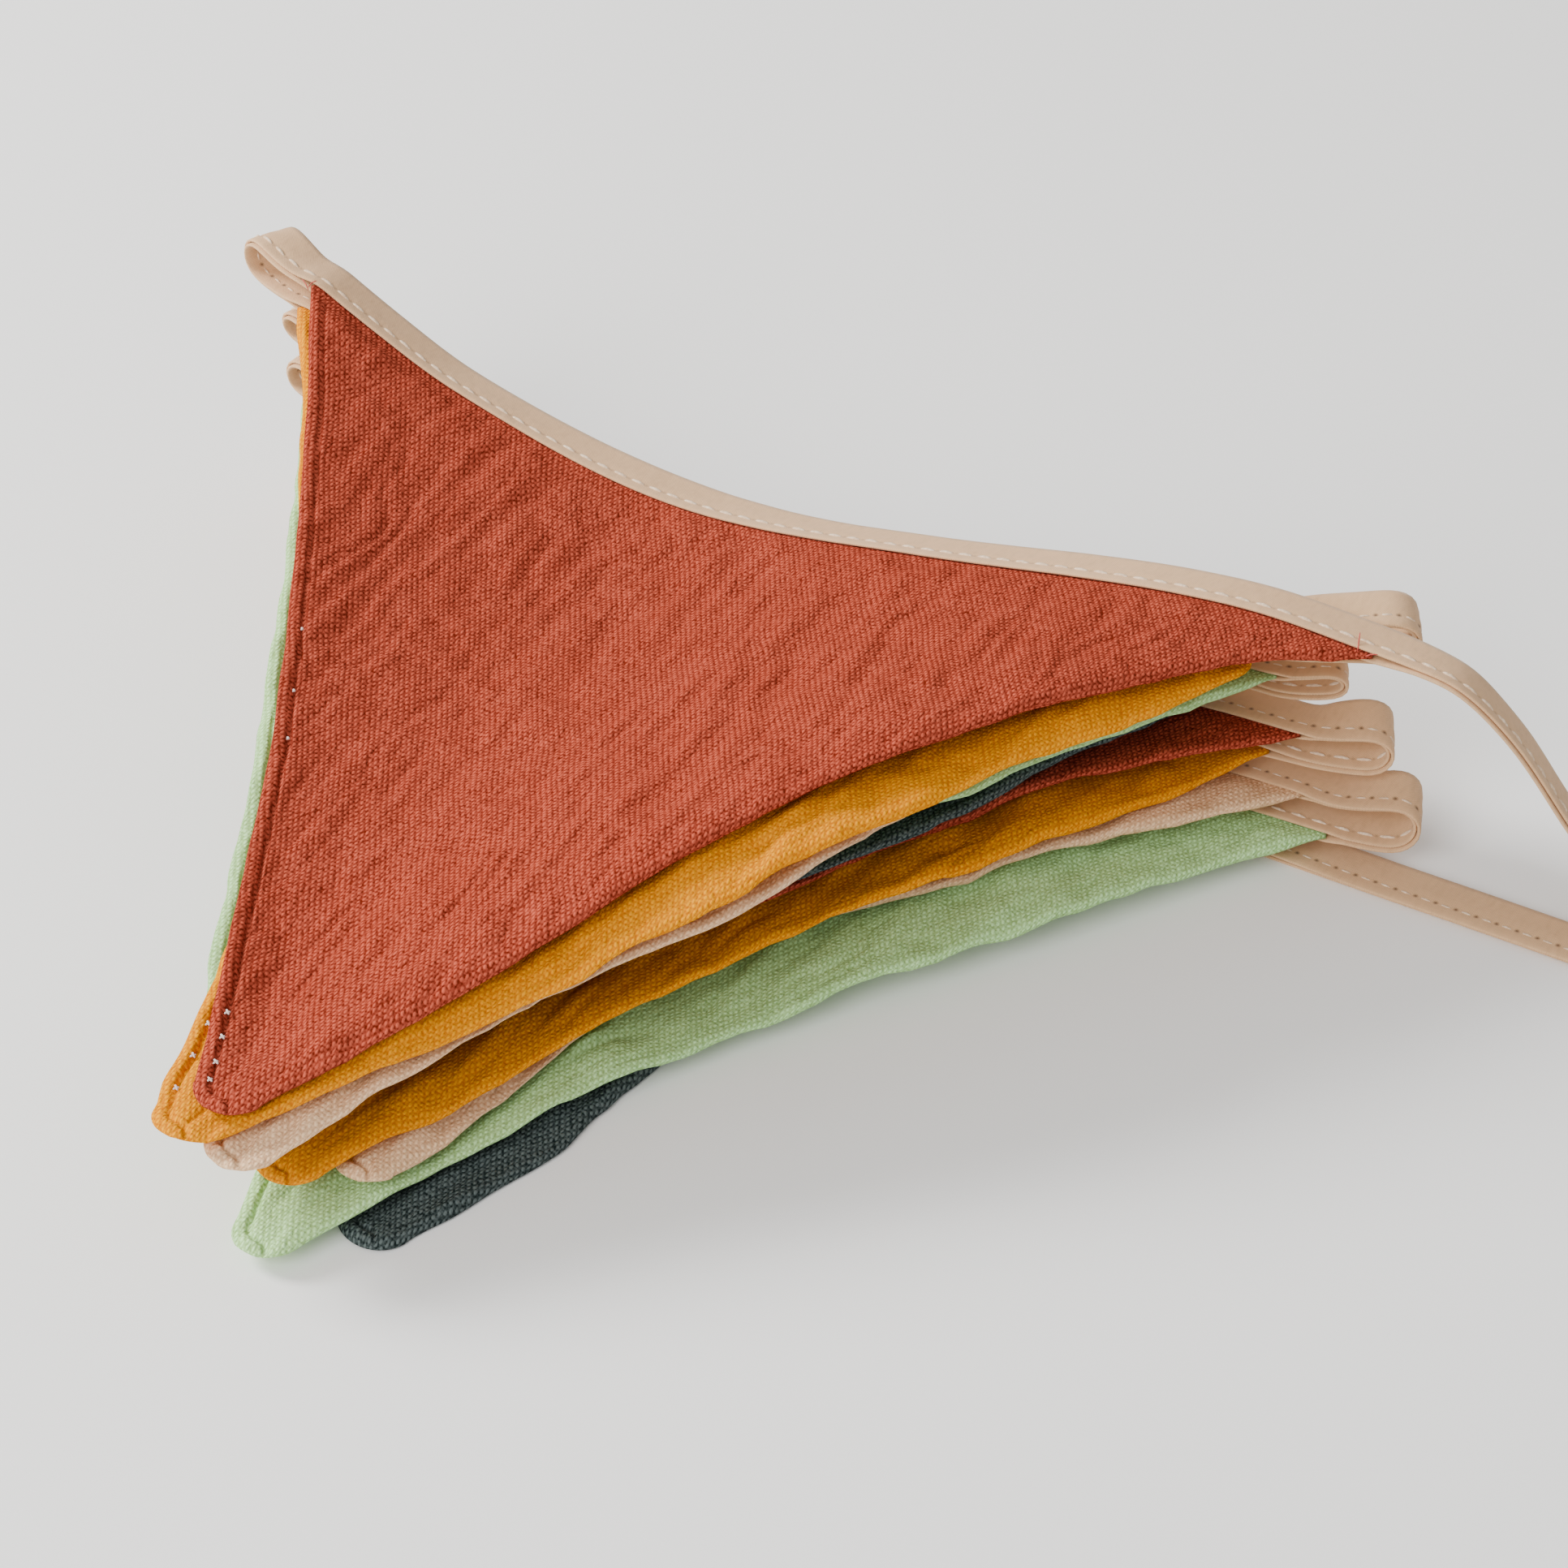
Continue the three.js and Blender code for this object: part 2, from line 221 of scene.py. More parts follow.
@dataclass(frozen=True)
class Pile:
    """The pile's height over a reference triangle in plan.

    Attributes:
        left: Left corner at the tape, on X.
        right: Right corner at the tape, on X.
        back: The tape's line, on Y.
        tip_x: The tip, on X.
        tip_y: The tip, on Y.
        narrows_to: Share of the way down at which the triangle stops narrowing.
        last: The lowest layer's number, counted from 0 at the top.
        flag_rest: Height of a flag's middle when it lies on the surface.
        tape_rest: Height of the tape's middle when it lies on the surface.
        fold_rise: How far the shared folds rise and fall.
        fold_shares: Each layer's share of that, from the top one down.
        fold_cell: Size of a fold on X and on Y.
        fold_slant: Length on Y over which a fold moves sideways by one cell.
        fold_tight: A distance between flags that leaves no room for folds.
        fold_room: How much more distance gives them all their room.
        fold_from: How far from the tape they begin.
        fold_grow: Over what length they grow.
        by_tape: Heights along the tape.
        by_side: Heights down the left edge.
        by_front: Heights down the front edge.
    """

    left: float = -98.0
    right: float = 84.0
    back: float = 22.0
    tip_x: float = -18.0
    tip_y: float = -122.0
    narrows_to: float = 0.95
    last: int = 9
    flag_rest: float = 0.8
    tape_rest: float = 0.7
    fold_rise: float = 2.8
    fold_shares: tuple[float, ...] = (0.15, 0.35, 0.5, 0.6, 0.7, 0.85, 1.0, 0.9, 0.65, 0.0)
    fold_cell: tuple[float, float] = (5.2, 25.0)
    fold_slant: float = 40.0
    fold_tight: float = 1.6
    fold_room: float = 3.1
    fold_from: float = 4.0
    fold_grow: float = 30.0
    by_tape: Rise = Rise(
        (0, 0.06, 0.14, 0.3, 0.42, 0.6, 0.8, 0.9, 1),
        (46, 41, 35.3, 28.7, 28, 33, 39.5, 41, 39.5),
    )
    by_side: Rise = Rise((0, 0.15, 0.3, 0.75, 1), (46, 38.5, 34, 26, 22))
    by_front: Rise = Rise((0, 0.12, 0.3, 0.55, 0.8, 1), (39.5, 42, 43.5, 40, 30, 22))

    def top(self, x: Any, y: Any) -> Any:
        """Height of the top flag's middle over a point of the plan, blended from the three edges.

        Args:
            x: Place on X.
            y: Place on Y.

        Returns:
            The height.
        """
        down = np.clip((self.back - y) / (self.back - self.tip_y), 0, 1)
        narrowed = np.minimum(down, self.narrows_to)
        left_x = mix(self.left, self.tip_x, narrowed)
        right_x = mix(self.right, self.tip_x, narrowed)
        across = np.clip((x - left_x) / (right_x - left_x), 0, 1)
        tip = self.by_side.along(1.0)
        sides = mix(self.by_side.along(down), self.by_front.along(down), across)
        ends = mix(self.by_tape.along(across), tip, down)
        corners = mix(mix(self.by_tape.along(0.0), self.by_tape.along(1.0), across), tip, down)
        return sides + ends - corners

    def layer(self, layer: int, x: Any, y: Any, lowest: float) -> Any:
        """Height of a layer's middle, from the top one, 0, to the one that rests at the lowest height."""
        return lowest + (self.top(x, y) - lowest) * (1 - layer / self.last)

    def pitch(self, x: Any, y: Any) -> Any:
        """The distance from one flag's middle to the next one's."""
        return (self.top(x, y) - self.flag_rest) / self.last

    def folds(self, layer: int, x: Array, y: Array) -> Array:
        """Soft folds across the free edges, which neighbouring flags share.

        Args:
            layer: The flag's place in the pile.
            x: The grid's X.
            y: The grid's Y.

        Returns:
            How far they lift the flag.
        """
        across = x / self.fold_cell[0] + y / self.fold_slant
        down = y / self.fold_cell[1]
        both = mix(FOLDS_ABOVE.at(across, down), FOLDS_BELOW.at(across, down), layer / self.last)
        room = np.clip((self.pitch(x, y) - self.fold_tight) / self.fold_room, 0, 1)
        grown = ease((self.back - self.fold_from - y) / self.fold_grow)
        return self.fold_rise * self.fold_shares[layer] * both * room * grown


@dataclass(frozen=True)
class Cut:
    """One flag's outline in plan, before it waves.

    Attributes:
        cloth: Its colour.
        left: Left corner at the tape.
        right: Right corner at the tape.
        tip: The rounded point.
        front: How far the front edge swells to the right of its straight line, at four shares down.
        side: How far the left edge swells to the left, at two shares down.
        turn: Phase of its soft waves.
    """

    cloth: Cloth
    left: tuple[float, float]
    right: tuple[float, float]
    tip: tuple[float, float]
    front: tuple[float, float, float, float]
    side: tuple[float, float]
    turn: float


CUTS = (
    Cut(Cloth.TERRACOTTA, (-98, 22.5), (83.5, 22.5), (-17, -122.5), (-6.5, -8, -7, -1.5), (-2, -3.5), 0),
    Cut(Cloth.MUSTARD, (-101, 22.5), (63, 24.5), (-20.5, -127.5), (11, 12, 12, 6), (-5, -10), 2.1),
    Cut(Cloth.SAND, (-101, 25), (65, 25), (-13, -126.5), (4, 2, 5, -1), (-6, -12), 4.4),
    Cut(Cloth.MINT, (-102, 26), (67.5, 26.5), (-21, -121.5), (0, 1, -1, 0), (-1.5, -2.2), 1.2),
    Cut(Cloth.CHARCOAL, (-101, 26), (60, 28.5), (-16, -112), (1.5, 5.5, 3, 1), (-3, -5), 5.3),
    Cut(Cloth.TERRACOTTA, (-100.5, 26), (72, 26.5), (-17, -114), (-3, -9.5, -6.5, -4.5), (-3, -5), 3.3),
    Cut(Cloth.MUSTARD, (-98, 25), (67.5, 26), (-11.5, -118), (0.5, 0, -4.5, -1.5), (-3, -5), 0.7),
    Cut(Cloth.SAND, (-97, 24.5), (74, 24.5), (-3.5, -111), (-2.5, -11, -18, -8), (-3, -8), 2.9),
    Cut(Cloth.MINT, (-96, 23), (79, 22.5), (-10, -126.5), (-3, -4.5, -8, -5), (-1, -12), 5.9),
    Cut(Cloth.CHARCOAL, (-96, 20), (66, 19.7), (0.5, -116), (-15, -14, -13, -3), (0, -2), 0),
)
FRONT_AT = (0.08, 0.3, 0.55, 0.8)
SIDE_AT = (0.2, 0.6)
RUN_BOW = 2.5


@dataclass(frozen=True)
class Loop:
    """One turn of the tape from a run to the one below it.

    Attributes:
        side: The side of the pile.
        reach: How far the tape runs on past the corners.
        turn: How far it turns backwards in plan, in radians.
        swell: How far its round end is larger than the two runs' own distance, as a radius.
        lift: How far its middle is above the two runs'.
        lean: How far its back edge leans down, in radians.
    """

    side: Side
    reach: float
    turn: float
    swell: float
    lift: float
    lean: float


LOOPS = (
    Loop(Side.LEFT, 10.5, 0.38, 0.8, 1.2, 0.05),
    Loop(Side.RIGHT, 20, 0.47, 1, 1, -0.05),
    Loop(Side.LEFT, 3, 0.38, 0.4, 0.4, 0.05),
    Loop(Side.RIGHT, 7.5, 0.45, 0.3, 1.1, -0.05),
    Loop(Side.LEFT, 4.2, 0.3, 0.6, 0.4, 0),
    Loop(Side.RIGHT, 11, 0.42, 0.7, 0, -0.2),
    Loop(Side.LEFT, 1.5, 0.34, 0.4, 0, 0),
    Loop(Side.RIGHT, 10, 0.36, 1, 0.2, -0.16),
    Loop(Side.LEFT, 3, 0.3, 0.4, 0.4, 0),
)


class Expression:
    """A number's socket in a shader, on which maths is written as plain expressions."""

    def __init__(self, shader: "Shader", socket: bpy.types.NodeSocket) -> None:
        """Wraps a socket of a shader's node."""
        self.shader = shader
        self.socket = socket

    def _math(self, operation: str, *values: Any) -> "Expression":
        """Adds a Math node on these values, in their order."""
        node = self.shader.node("ShaderNodeMath", {"operation": operation}, dict(enumerate(values)))
        return Expression(self.shader, node.outputs[0])

    def __add__(self, other: Any) -> "Expression":
        """This plus other."""
        return self._math("ADD", self, other)

    __radd__ = __add__

    def __sub__(self, other: Any) -> "Expression":
        """This minus other."""
        return self._math("SUBTRACT", self, other)

    def __rsub__(self, other: Any) -> "Expression":
        """Other minus this."""
        return self._math("SUBTRACT", other, self)

    def __mul__(self, other: Any) -> "Expression":
        """This times other."""
        return self._math("MULTIPLY", self, other)

    __rmul__ = __mul__

    def __truediv__(self, other: Any) -> "Expression":
        """This over other."""
        return self._math("DIVIDE", self, other)

    def __abs__(self) -> "Expression":
        """This without its sign."""
        return self._math("ABSOLUTE", self)

    def cosine(self) -> "Expression":
        """The cosine of this, in radians."""
        return self._math("COSINE", self)

    def larger(self, other: Any) -> "Expression":
        """The larger of this and other."""
        return self._math("MAXIMUM", self, other)

    def held(self) -> "Expression":
        """This, held between 0 and 1."""
        return self._math("MINIMUM", self._math("MAXIMUM", self, 0.0), 1.0)

    def part(self) -> "Expression":
        """What is left of this after its whole number."""
        return self._math("FRACT", self)

    def root(self) -> "Expression":
        """The square root of this."""
        return self._math("SQRT", self)


@dataclass(frozen=True)
class Cloud:
    """Soft noise over an object.

    Attributes:
        scale: Cells to the metre.
        detail: How many finer layers it has.
        stretch: Factors of the scale along X, Y and Z.
    """

    scale: float
    detail: float
    stretch: tuple[float, float, float] = (1.0, 1.0, 1.0)


class Shader:
    """A material's node tree, built by one method for any node."""

    def __init__(self, name: str) -> None:
        """Makes an empty material with its output.

        Args:
            name: The material's name.
        """
        self.material = bpy.data.materials.new(name)
        self.material.use_nodes = True
        self.tree = self.material.node_tree
        self.tree.nodes.clear()
        self.output = self.tree.nodes.new("ShaderNodeOutputMaterial")

    def node(self, kind: str, settings: dict[str, Any], inputs: dict[Any, Any]) -> bpy.types.Node:
        """Adds a node.

        Args:
            kind: The node's type.
            settings: Its own settings, which are set first.
            inputs: Values or links of its sockets, by name or number.

        Returns:
            The node.
        """
        made = self.tree.nodes.new(kind)
        for name, value in settings.items():
            setattr(made, name, value)
        for name, value in inputs.items():
            socket = made.inputs[name]
            if isinstance(value, Expression):
                self.tree.links.new(value.socket, socket)
            elif isinstance(value, bpy.types.NodeSocket):
                self.tree.links.new(value, socket)
            else:
                socket.default_value = value
        return made

    def cloth_place(self, map_name: str) -> tuple[Expression, Expression]:
        """The two coordinates of a UV map.

        Args:
            map_name: The map's name.

        Returns:
            The place along and across the cloth, in metres.
        """
        uv = self.node("ShaderNodeUVMap", {"uv_map": map_name}, {})
        split = self.node("ShaderNodeSeparateXYZ", {}, {0: uv.outputs[0]})
        return Expression(self, split.outputs[0]), Expression(self, split.outputs[1])

    def cloud(self, cloud: Cloud) -> Expression:
        """Soft noise over the object.

        Args:
            cloud: What kind of noise.

        Returns:
            Its value, from 0 to 1.
        """
        place = self.node("ShaderNodeTexCoord", {}, {})
        sizing = {"Vector": place.outputs["Object"], "Scale": cloud.stretch}
        scaled = self.node("ShaderNodeMapping", {}, sizing)
        inputs = {"Vector": scaled.outputs[0], "Scale": cloud.scale, "Detail": cloud.detail}
        return Expression(self, self.node("ShaderNodeTexNoise", {}, inputs).outputs[0])

    def blend(self, share: Any, a: Any, b: Any) -> bpy.types.NodeSocket:
        """A colour between a and b, at a share of the way."""
        settings = {"data_type": "RGBA"}
        return self.node("ShaderNodeMix", settings, {0: share, 6: a, 7: b}).outputs[2]

    def surface(self, inputs: dict[str, Any], height: Expression, depth: float, strength: float) -> None:
        """Closes the material with one cloth surface.

        Args:
            inputs: Sockets of the Principled node.
            height: What raises the surface, from 0 to about 1.
            depth: How far 1 of it raises the surface, in metres.
            strength: Share of that which shows.
        """
        bump = self.node("ShaderNodeBump", {}, {"Height": height, "Distance": depth, "Strength": strength})
        inputs = {**inputs, "Normal": bump.outputs[0]}
        body = self.node("ShaderNodeBsdfPrincipled", {}, inputs)
        self.tree.links.new(body.outputs[0], self.output.inputs["Surface"])


@dataclass(frozen=True)
class GauzeFinish:
    """Open plain weave of soft cotton, seen over a second layer of itself, with light and shade painted into
    its colour.

    Attributes:
        thread: Colour of a thread's crown.
        hollow_shade: Painted shade between the threads.
        warm: Colour that the cloth's large patches lean to.
        pitch: Distance from one upright thread to the next, in metres.
        row_pitch: Distance from one cross thread to the next, in metres.
        depth: How far a thread stands out, in metres.
        crease: How deep the finest creases are, in metres.
        strength: Share of the relief that shows.
        roughness: The cloth's roughness.
        sheen: Weight of its soft fibre ends.
        sheen_roughness: How widely those scatter light.
        drift: How many pitches the threads wander over some centimetres.
        wobble: How many pitches they wander over a few threads.
        rising: Share of the weave's one slant in a crown's height.
        falling: Share of its other slant.
        line_share: Share of the upright threads.
        row_share: Share of the cross threads.
        slub_share: Share of the yarn's own unevenness.
        lift: What is added to the crown's height.
        level: The height at which the colour is halfway from the painted shade of the hollows to the crown's
            colour.
        contrast: How sharply the painted light on the crowns stands out from the painted shade in the
            hollows.
        patch_from: Where the noise of the warm patches begins to count.
        patch_gain: How sharply it does.
        patch_share: How far the patches lean to the warm colour.
        crease_gain: How sharply the fine creases end.
        crease_shade: How much darker the fine creases are painted, as shade.
        crown_relief: Share of the crowns in the relief.
        nap_relief: Share of the fibre ends in the relief.
        drift_cloud: Noise of the drift.
        wobble_cloud: Noise of the wobble.
        slub_cloud: Noise of the yarn.
        patch_cloud: Noise of the patches.
        crease_cloud: Noise of the creases.
        nap_cloud: Noise of the fibre ends.
    """

    thread: Rgba
    hollow_shade: Rgba
    warm: Rgba
    pitch: float = 0.46 * MM
    row_pitch: float = 0.74 * MM
    depth: float = 0.15 * MM
    crease: float = 0.13 * MM
    strength: float = 0.9
    roughness: float = 0.92
    sheen: float = 0.04
    sheen_roughness: float = 0.6
    drift: float = 1.2
    wobble: float = 0.6
    rising: float = 0.19
    falling: float = 0.17
    line_share: float = 0.34
    row_share: float = 0.3
    slub_share: float = 1.2
    lift: float = 0.09
    level: float = 0.48
    contrast: float = 1.5
    patch_from: float = 0.35
    patch_gain: float = 1.6
    patch_share: float = 0.4
    crease_gain: float = 9.0
    crease_shade: float = 0.16
    crown_relief: float = 0.9
    nap_relief: float = 0.3
    drift_cloud: Cloud = Cloud(60, 0)
    wobble_cloud: Cloud = Cloud(900, 1)
    slub_cloud: Cloud = Cloud(2000, 2)
    patch_cloud: Cloud = Cloud(55, 3)
    crease_cloud: Cloud = Cloud(330, 2, (1.0, 0.34, 1.0))
    nap_cloud: Cloud = Cloud(5200, 2)

    def crown(self, shader: Shader) -> Expression:
        """Height of the woven threads.

        Args:
            shader: The shader that it is written in.

        Returns:
            The height, from about 0 to 1.
        """
        u, v = shader.cloth_place("Cloth")
        drift = (shader.cloud(self.drift_cloud) - 0.5) * self.drift
        wobble = (shader.cloud(self.wobble_cloud) - 0.5) * self.wobble
        upright = u / self.pitch + drift + wobble
        row = v / self.row_pitch + drift - wobble
        rising = ((upright + row) * math.pi).cosine() * self.rising
        falling = ((upright - row) * math.pi).cosine() * self.falling
        lines = abs((upright * math.pi).cosine()) * self.line_share
        rows = abs((row * math.pi).cosine()) * self.row_share
        slub = (shader.cloud(self.slub_cloud) - 0.5) * self.slub_share
        return rising + falling + lines + rows + slub + self.lift

    def material(self, name: str) -> bpy.types.Material:
        """Builds the material.

        Args:
            name: Its name.

        Returns:
            The material.
        """
        shader = Shader(name)
        crown = self.crown(shader)
        # Painted light and shade: the threads' crowns are lighter and the hollows between them darker; the
        # yarn's unevenness adds random tone.
        lit = ((crown - self.level) * self.contrast + 0.5).held()
        patch = ((shader.cloud(self.patch_cloud) - self.patch_from) * self.patch_gain).held()
        # Painted shade along the fine creases.
        fine = (abs(shader.cloud(self.crease_cloud) - 0.5) * self.crease_gain).held()
        shade = fine * self.crease_shade + (1.0 - self.crease_shade)
        yarn = shader.blend(patch * self.patch_share, self.thread, self.warm)
        nap = shader.cloud(self.nap_cloud) * self.nap_relief
        relief = crown * self.crown_relief + nap + fine * (self.crease / self.depth)
        inputs = {
            "Base Color": shader.blend(lit * shade, self.hollow_shade, yarn),
            "Roughness": self.roughness,
            "Sheen Weight": self.sheen,
            "Sheen Roughness": self.sheen_roughness,
            "Sheen Tint": self.thread,
            "Specular IOR Level": 0.0,
        }
        shader.surface(inputs, relief, self.depth, self.strength)
        return shader.material


@dataclass(frozen=True)
class TapeFinish:
    """Fine plain cotton cut on the bias, with a topstitched line of small dents.

    Attributes:
        thread: Colour of the cloth.
        hollow_shade: Painted shade between its threads.
        dent_shade_colour: Painted shade in a stitch's hole.
        pitch: Distance from one thread to the next, in metres.
        stitch: Length from one stitch to the next, in metres.
        inset: The stitches' distance from the tape's front edges, in metres.
        dent_radius: Radius of a stitch's dent, in metres.
        folded_width: Width of the tape before it is folded, in metres.
        interlace: How far each thread goes over and under the others.
        upper_dent: Weight of the dents in the upper leaf.
        lower_dent: Size of those in the under leaf, as a factor of the radius.
        dent_shade: How dark a dent is painted, as shade in its hole.
        shade_from: Height of a crown above which no shade is painted.
        crown_shade: Share of the crowns in the colour, as painted shade that darkens the hollows between
            them.
        patch_wear: Share of the large patches in it.
        slub_wear: Share of the yarn's unevenness in it.
        crown_relief: Share of the crowns in the relief.
        nap_relief: Share of the fibre ends in the relief.
        crease_relief: Share of the small creases in the relief.
        depth: How far 1 of the relief stands out, in metres.
        strength: Share of the relief that shows.
        roughness: The cloth's roughness.
        patch_cloud: Noise of the patches.
        slub_cloud: Noise of the yarn.
        nap_cloud: Noise of the fibre ends.
        crease_cloud: Noise of the creases.
    """

    thread: Rgba
    hollow_shade: Rgba
    dent_shade_colour: Rgba
    pitch: float = 0.26 * MM
    stitch: float = 3.2 * MM
    inset: float = 1.9 * MM
    dent_radius: float = 0.45 * MM
    folded_width: float = 16 * MM
    interlace: float = 0.4
    upper_dent: float = 0.45
    lower_dent: float = 1.15
    dent_shade: float = 0.9
    shade_from: float = 1.1
    crown_shade: float = 0.5
    patch_wear: float = 0.5
    slub_wear: float = 0.9
    crown_relief: float = 0.25
    nap_relief: float = 0.4
    crease_relief: float = 2.2
    depth: float = 0.1 * MM
    strength: float = 0.6
    roughness: float = 0.85
    patch_cloud: Cloud = Cloud(90, 3)
    slub_cloud: Cloud = Cloud(1500, 2, (1.0, 0.3, 1.0))
    nap_cloud: Cloud = Cloud(2600, 2)
    crease_cloud: Cloud = Cloud(330, 2)

    def dents(self, u: Expression, v: Expression) -> Expression:
        """How deep the stitches' dents are, in both leaves of the tape.

        Args:
            u: Place along the tape.
            v: Place across the unfolded tape.

        Returns:
            The depth, 0 away from the stitches.
        """
        along = ((u / self.stitch).part() - 0.5) * self.stitch
        first = v - self.inset
        second = (self.folded_width - self.inset) - v
        near = (along * along + first * first).root() / self.dent_radius
        far = (along * along + second * second).root() / self.dent_radius
        return (1.0 - near).held() * self.upper_dent + (self.lower_dent - far).held()

    def material(self, name: str) -> bpy.types.Material:
        """Builds the material.

        Args:
            name: Its name.

        Returns:
            The material.
        """
        shader = Shader(name)
        u, v = shader.cloth_place("Ribbon")
        diagonal = math.pi / (self.pitch * math.sqrt(2))
        warp = ((u + v) * diagonal).cosine()
        weft = ((u - v) * diagonal).cosine()
        crossing = warp * weft * self.interlace
        crown = (abs(warp) + crossing).larger(abs(weft) - crossing)
        hole = self.dents(u, v)
        patch = (shader.cloud(self.patch_cloud) - 0.5) * self.patch_wear
        slub = (shader.cloud(self.slub_cloud) - 0.5) * self.slub_wear
        # Painted shade: darker from the crowns into the hollows between the threads; the patches and the
        # yarn's unevenness add random tone.
        tone_and_hollow_shade = (self.shade_from - crown) * self.crown_shade + patch + slub
        yarn = shader.blend(tone_and_hollow_shade.held(), self.thread, self.hollow_shade)
        nap = shader.cloud(self.nap_cloud) * self.nap_relief
        creases = shader.cloud(self.crease_cloud) * self.crease_relief
        # Painted shade in the stitches' dents darkens the colour.
        inputs = {
            "Base Color": shader.blend((hole * self.dent_shade).held(), yarn, self.dent_shade_colour),
            "Roughness": self.roughness,
            "Sheen Weight": 0.12,
            "Sheen Roughness": 0.5,
            "Specular IOR Level": 0.2,
        }
        height = crown * self.crown_relief + nap + creases - hole
        shader.surface(inputs, height, self.depth, self.strength)
        return shader.material


@dataclass(frozen=True)
class ThreadFinish:
    """Sewing thread, two plies twisted.

    Attributes:
        colour: The thread's colour.
        shade: Painted shade between its plies.
        shade_to: Where the noise of the plies leaves the shade.
        ply_gain: How sharply it does.
        depth: How far a ply stands out, in metres.
        strength: Share of that which shows.
        ply_cloud: Noise of the plies.
    """

    colour: Rgba
    shade: Rgba
    shade_to: float = 0.35
    ply_gain: float = 2.0
    depth: float = 0.08 * MM
    strength: float = 0.6
    ply_cloud: Cloud = Cloud(2400, 2)

    def material(self, name: str) -> bpy.types.Material:
        """Builds the material.

        Args:
            name: Its name.

        Returns:
            The material.
        """
        shader = Shader(name)
        ply = shader.cloud(self.ply_cloud)
        # Painted shade between the plies, from the same noise as their relief.
        colour = shader.blend(((ply - self.shade_to) * self.ply_gain).held(), self.shade, self.colour)
        inputs = {"Base Color": colour, "Roughness": 0.7, "Sheen Weight": 0.2, "Specular IOR Level": 0.3}
        shader.surface(inputs, ply, self.depth, self.strength)
        return shader.material


@dataclass(frozen=True)
class FloorFinish:
    """A plain matt sheet of pale paper.

    Attributes:
        colour: Its colour.
        depth: How far its grain stands out, in metres.
        strength: Share of that which shows.
        grain_cloud: Noise of the grain.
    """

    colour: Rgba
    depth: float = 0.02 * MM
    strength: float = 0.2
    grain_cloud: Cloud = Cloud(900, 2)

    def material(self, name: str) -> bpy.types.Material:
        """Builds the material.

        Args:
            name: Its name.

        Returns:
            The material.
        """
        shader = Shader(name)
        inputs = {"Base Color": self.colour, "Roughness": 0.9, "Specular IOR Level": 0.1}
        shader.surface(inputs, shader.cloud(self.grain_cloud), self.depth, self.strength)
        return shader.material


GAUZE = {
    Cloth.TERRACOTTA: GauzeFinish(
        thread=(0.53, 0.098, 0.055, 1), hollow_shade=(0.122, 0.011, 0.0045, 1), warm=(0.46, 0.073, 0.037, 1)
    ),
    Cloth.MUSTARD: GauzeFinish(
        thread=(0.88, 0.360, 0.0001, 1), hollow_shade=(0.52, 0.145, 0.0001, 1), warm=(0.82, 0.300, 0.0001, 1)
    ),
    Cloth.SAND: GauzeFinish(
        thread=(0.91, 0.63, 0.38, 1), hollow_shade=(0.58, 0.34, 0.19, 1), warm=(0.87, 0.57, 0.33, 1)
    ),
    Cloth.MINT: GauzeFinish(
        thread=(0.54, 0.86, 0.42, 1), hollow_shade=(0.27, 0.45, 0.16, 1), warm=(0.52, 0.81, 0.35, 1)
    ),
    Cloth.CHARCOAL: GauzeFinish(
        thread=(0.115, 0.142, 0.140, 1), hollow_shade=(0.008, 0.014, 0.014, 1), warm=(0.09, 0.115, 0.113, 1)
    ),
}
TAPE_FINISH = TapeFinish((0.66, 0.412, 0.225, 1), (0.43, 0.258, 0.138, 1), (0.10, 0.055, 0.03, 1))
STITCH_FINISH = ThreadFinish((0.92, 0.76, 0.58, 1), (0.60, 0.42, 0.27, 1))
SPECK_FINISH = ThreadFinish((0.92, 0.84, 0.78, 1), (0.60, 0.42, 0.38, 1))
LOOSE_FINISH = ThreadFinish((0.72, 0.10, 0.07, 1), (0.40, 0.03, 0.02, 1))
FLOOR_FINISH = FloorFinish((0.93, 0.93, 0.925, 1))


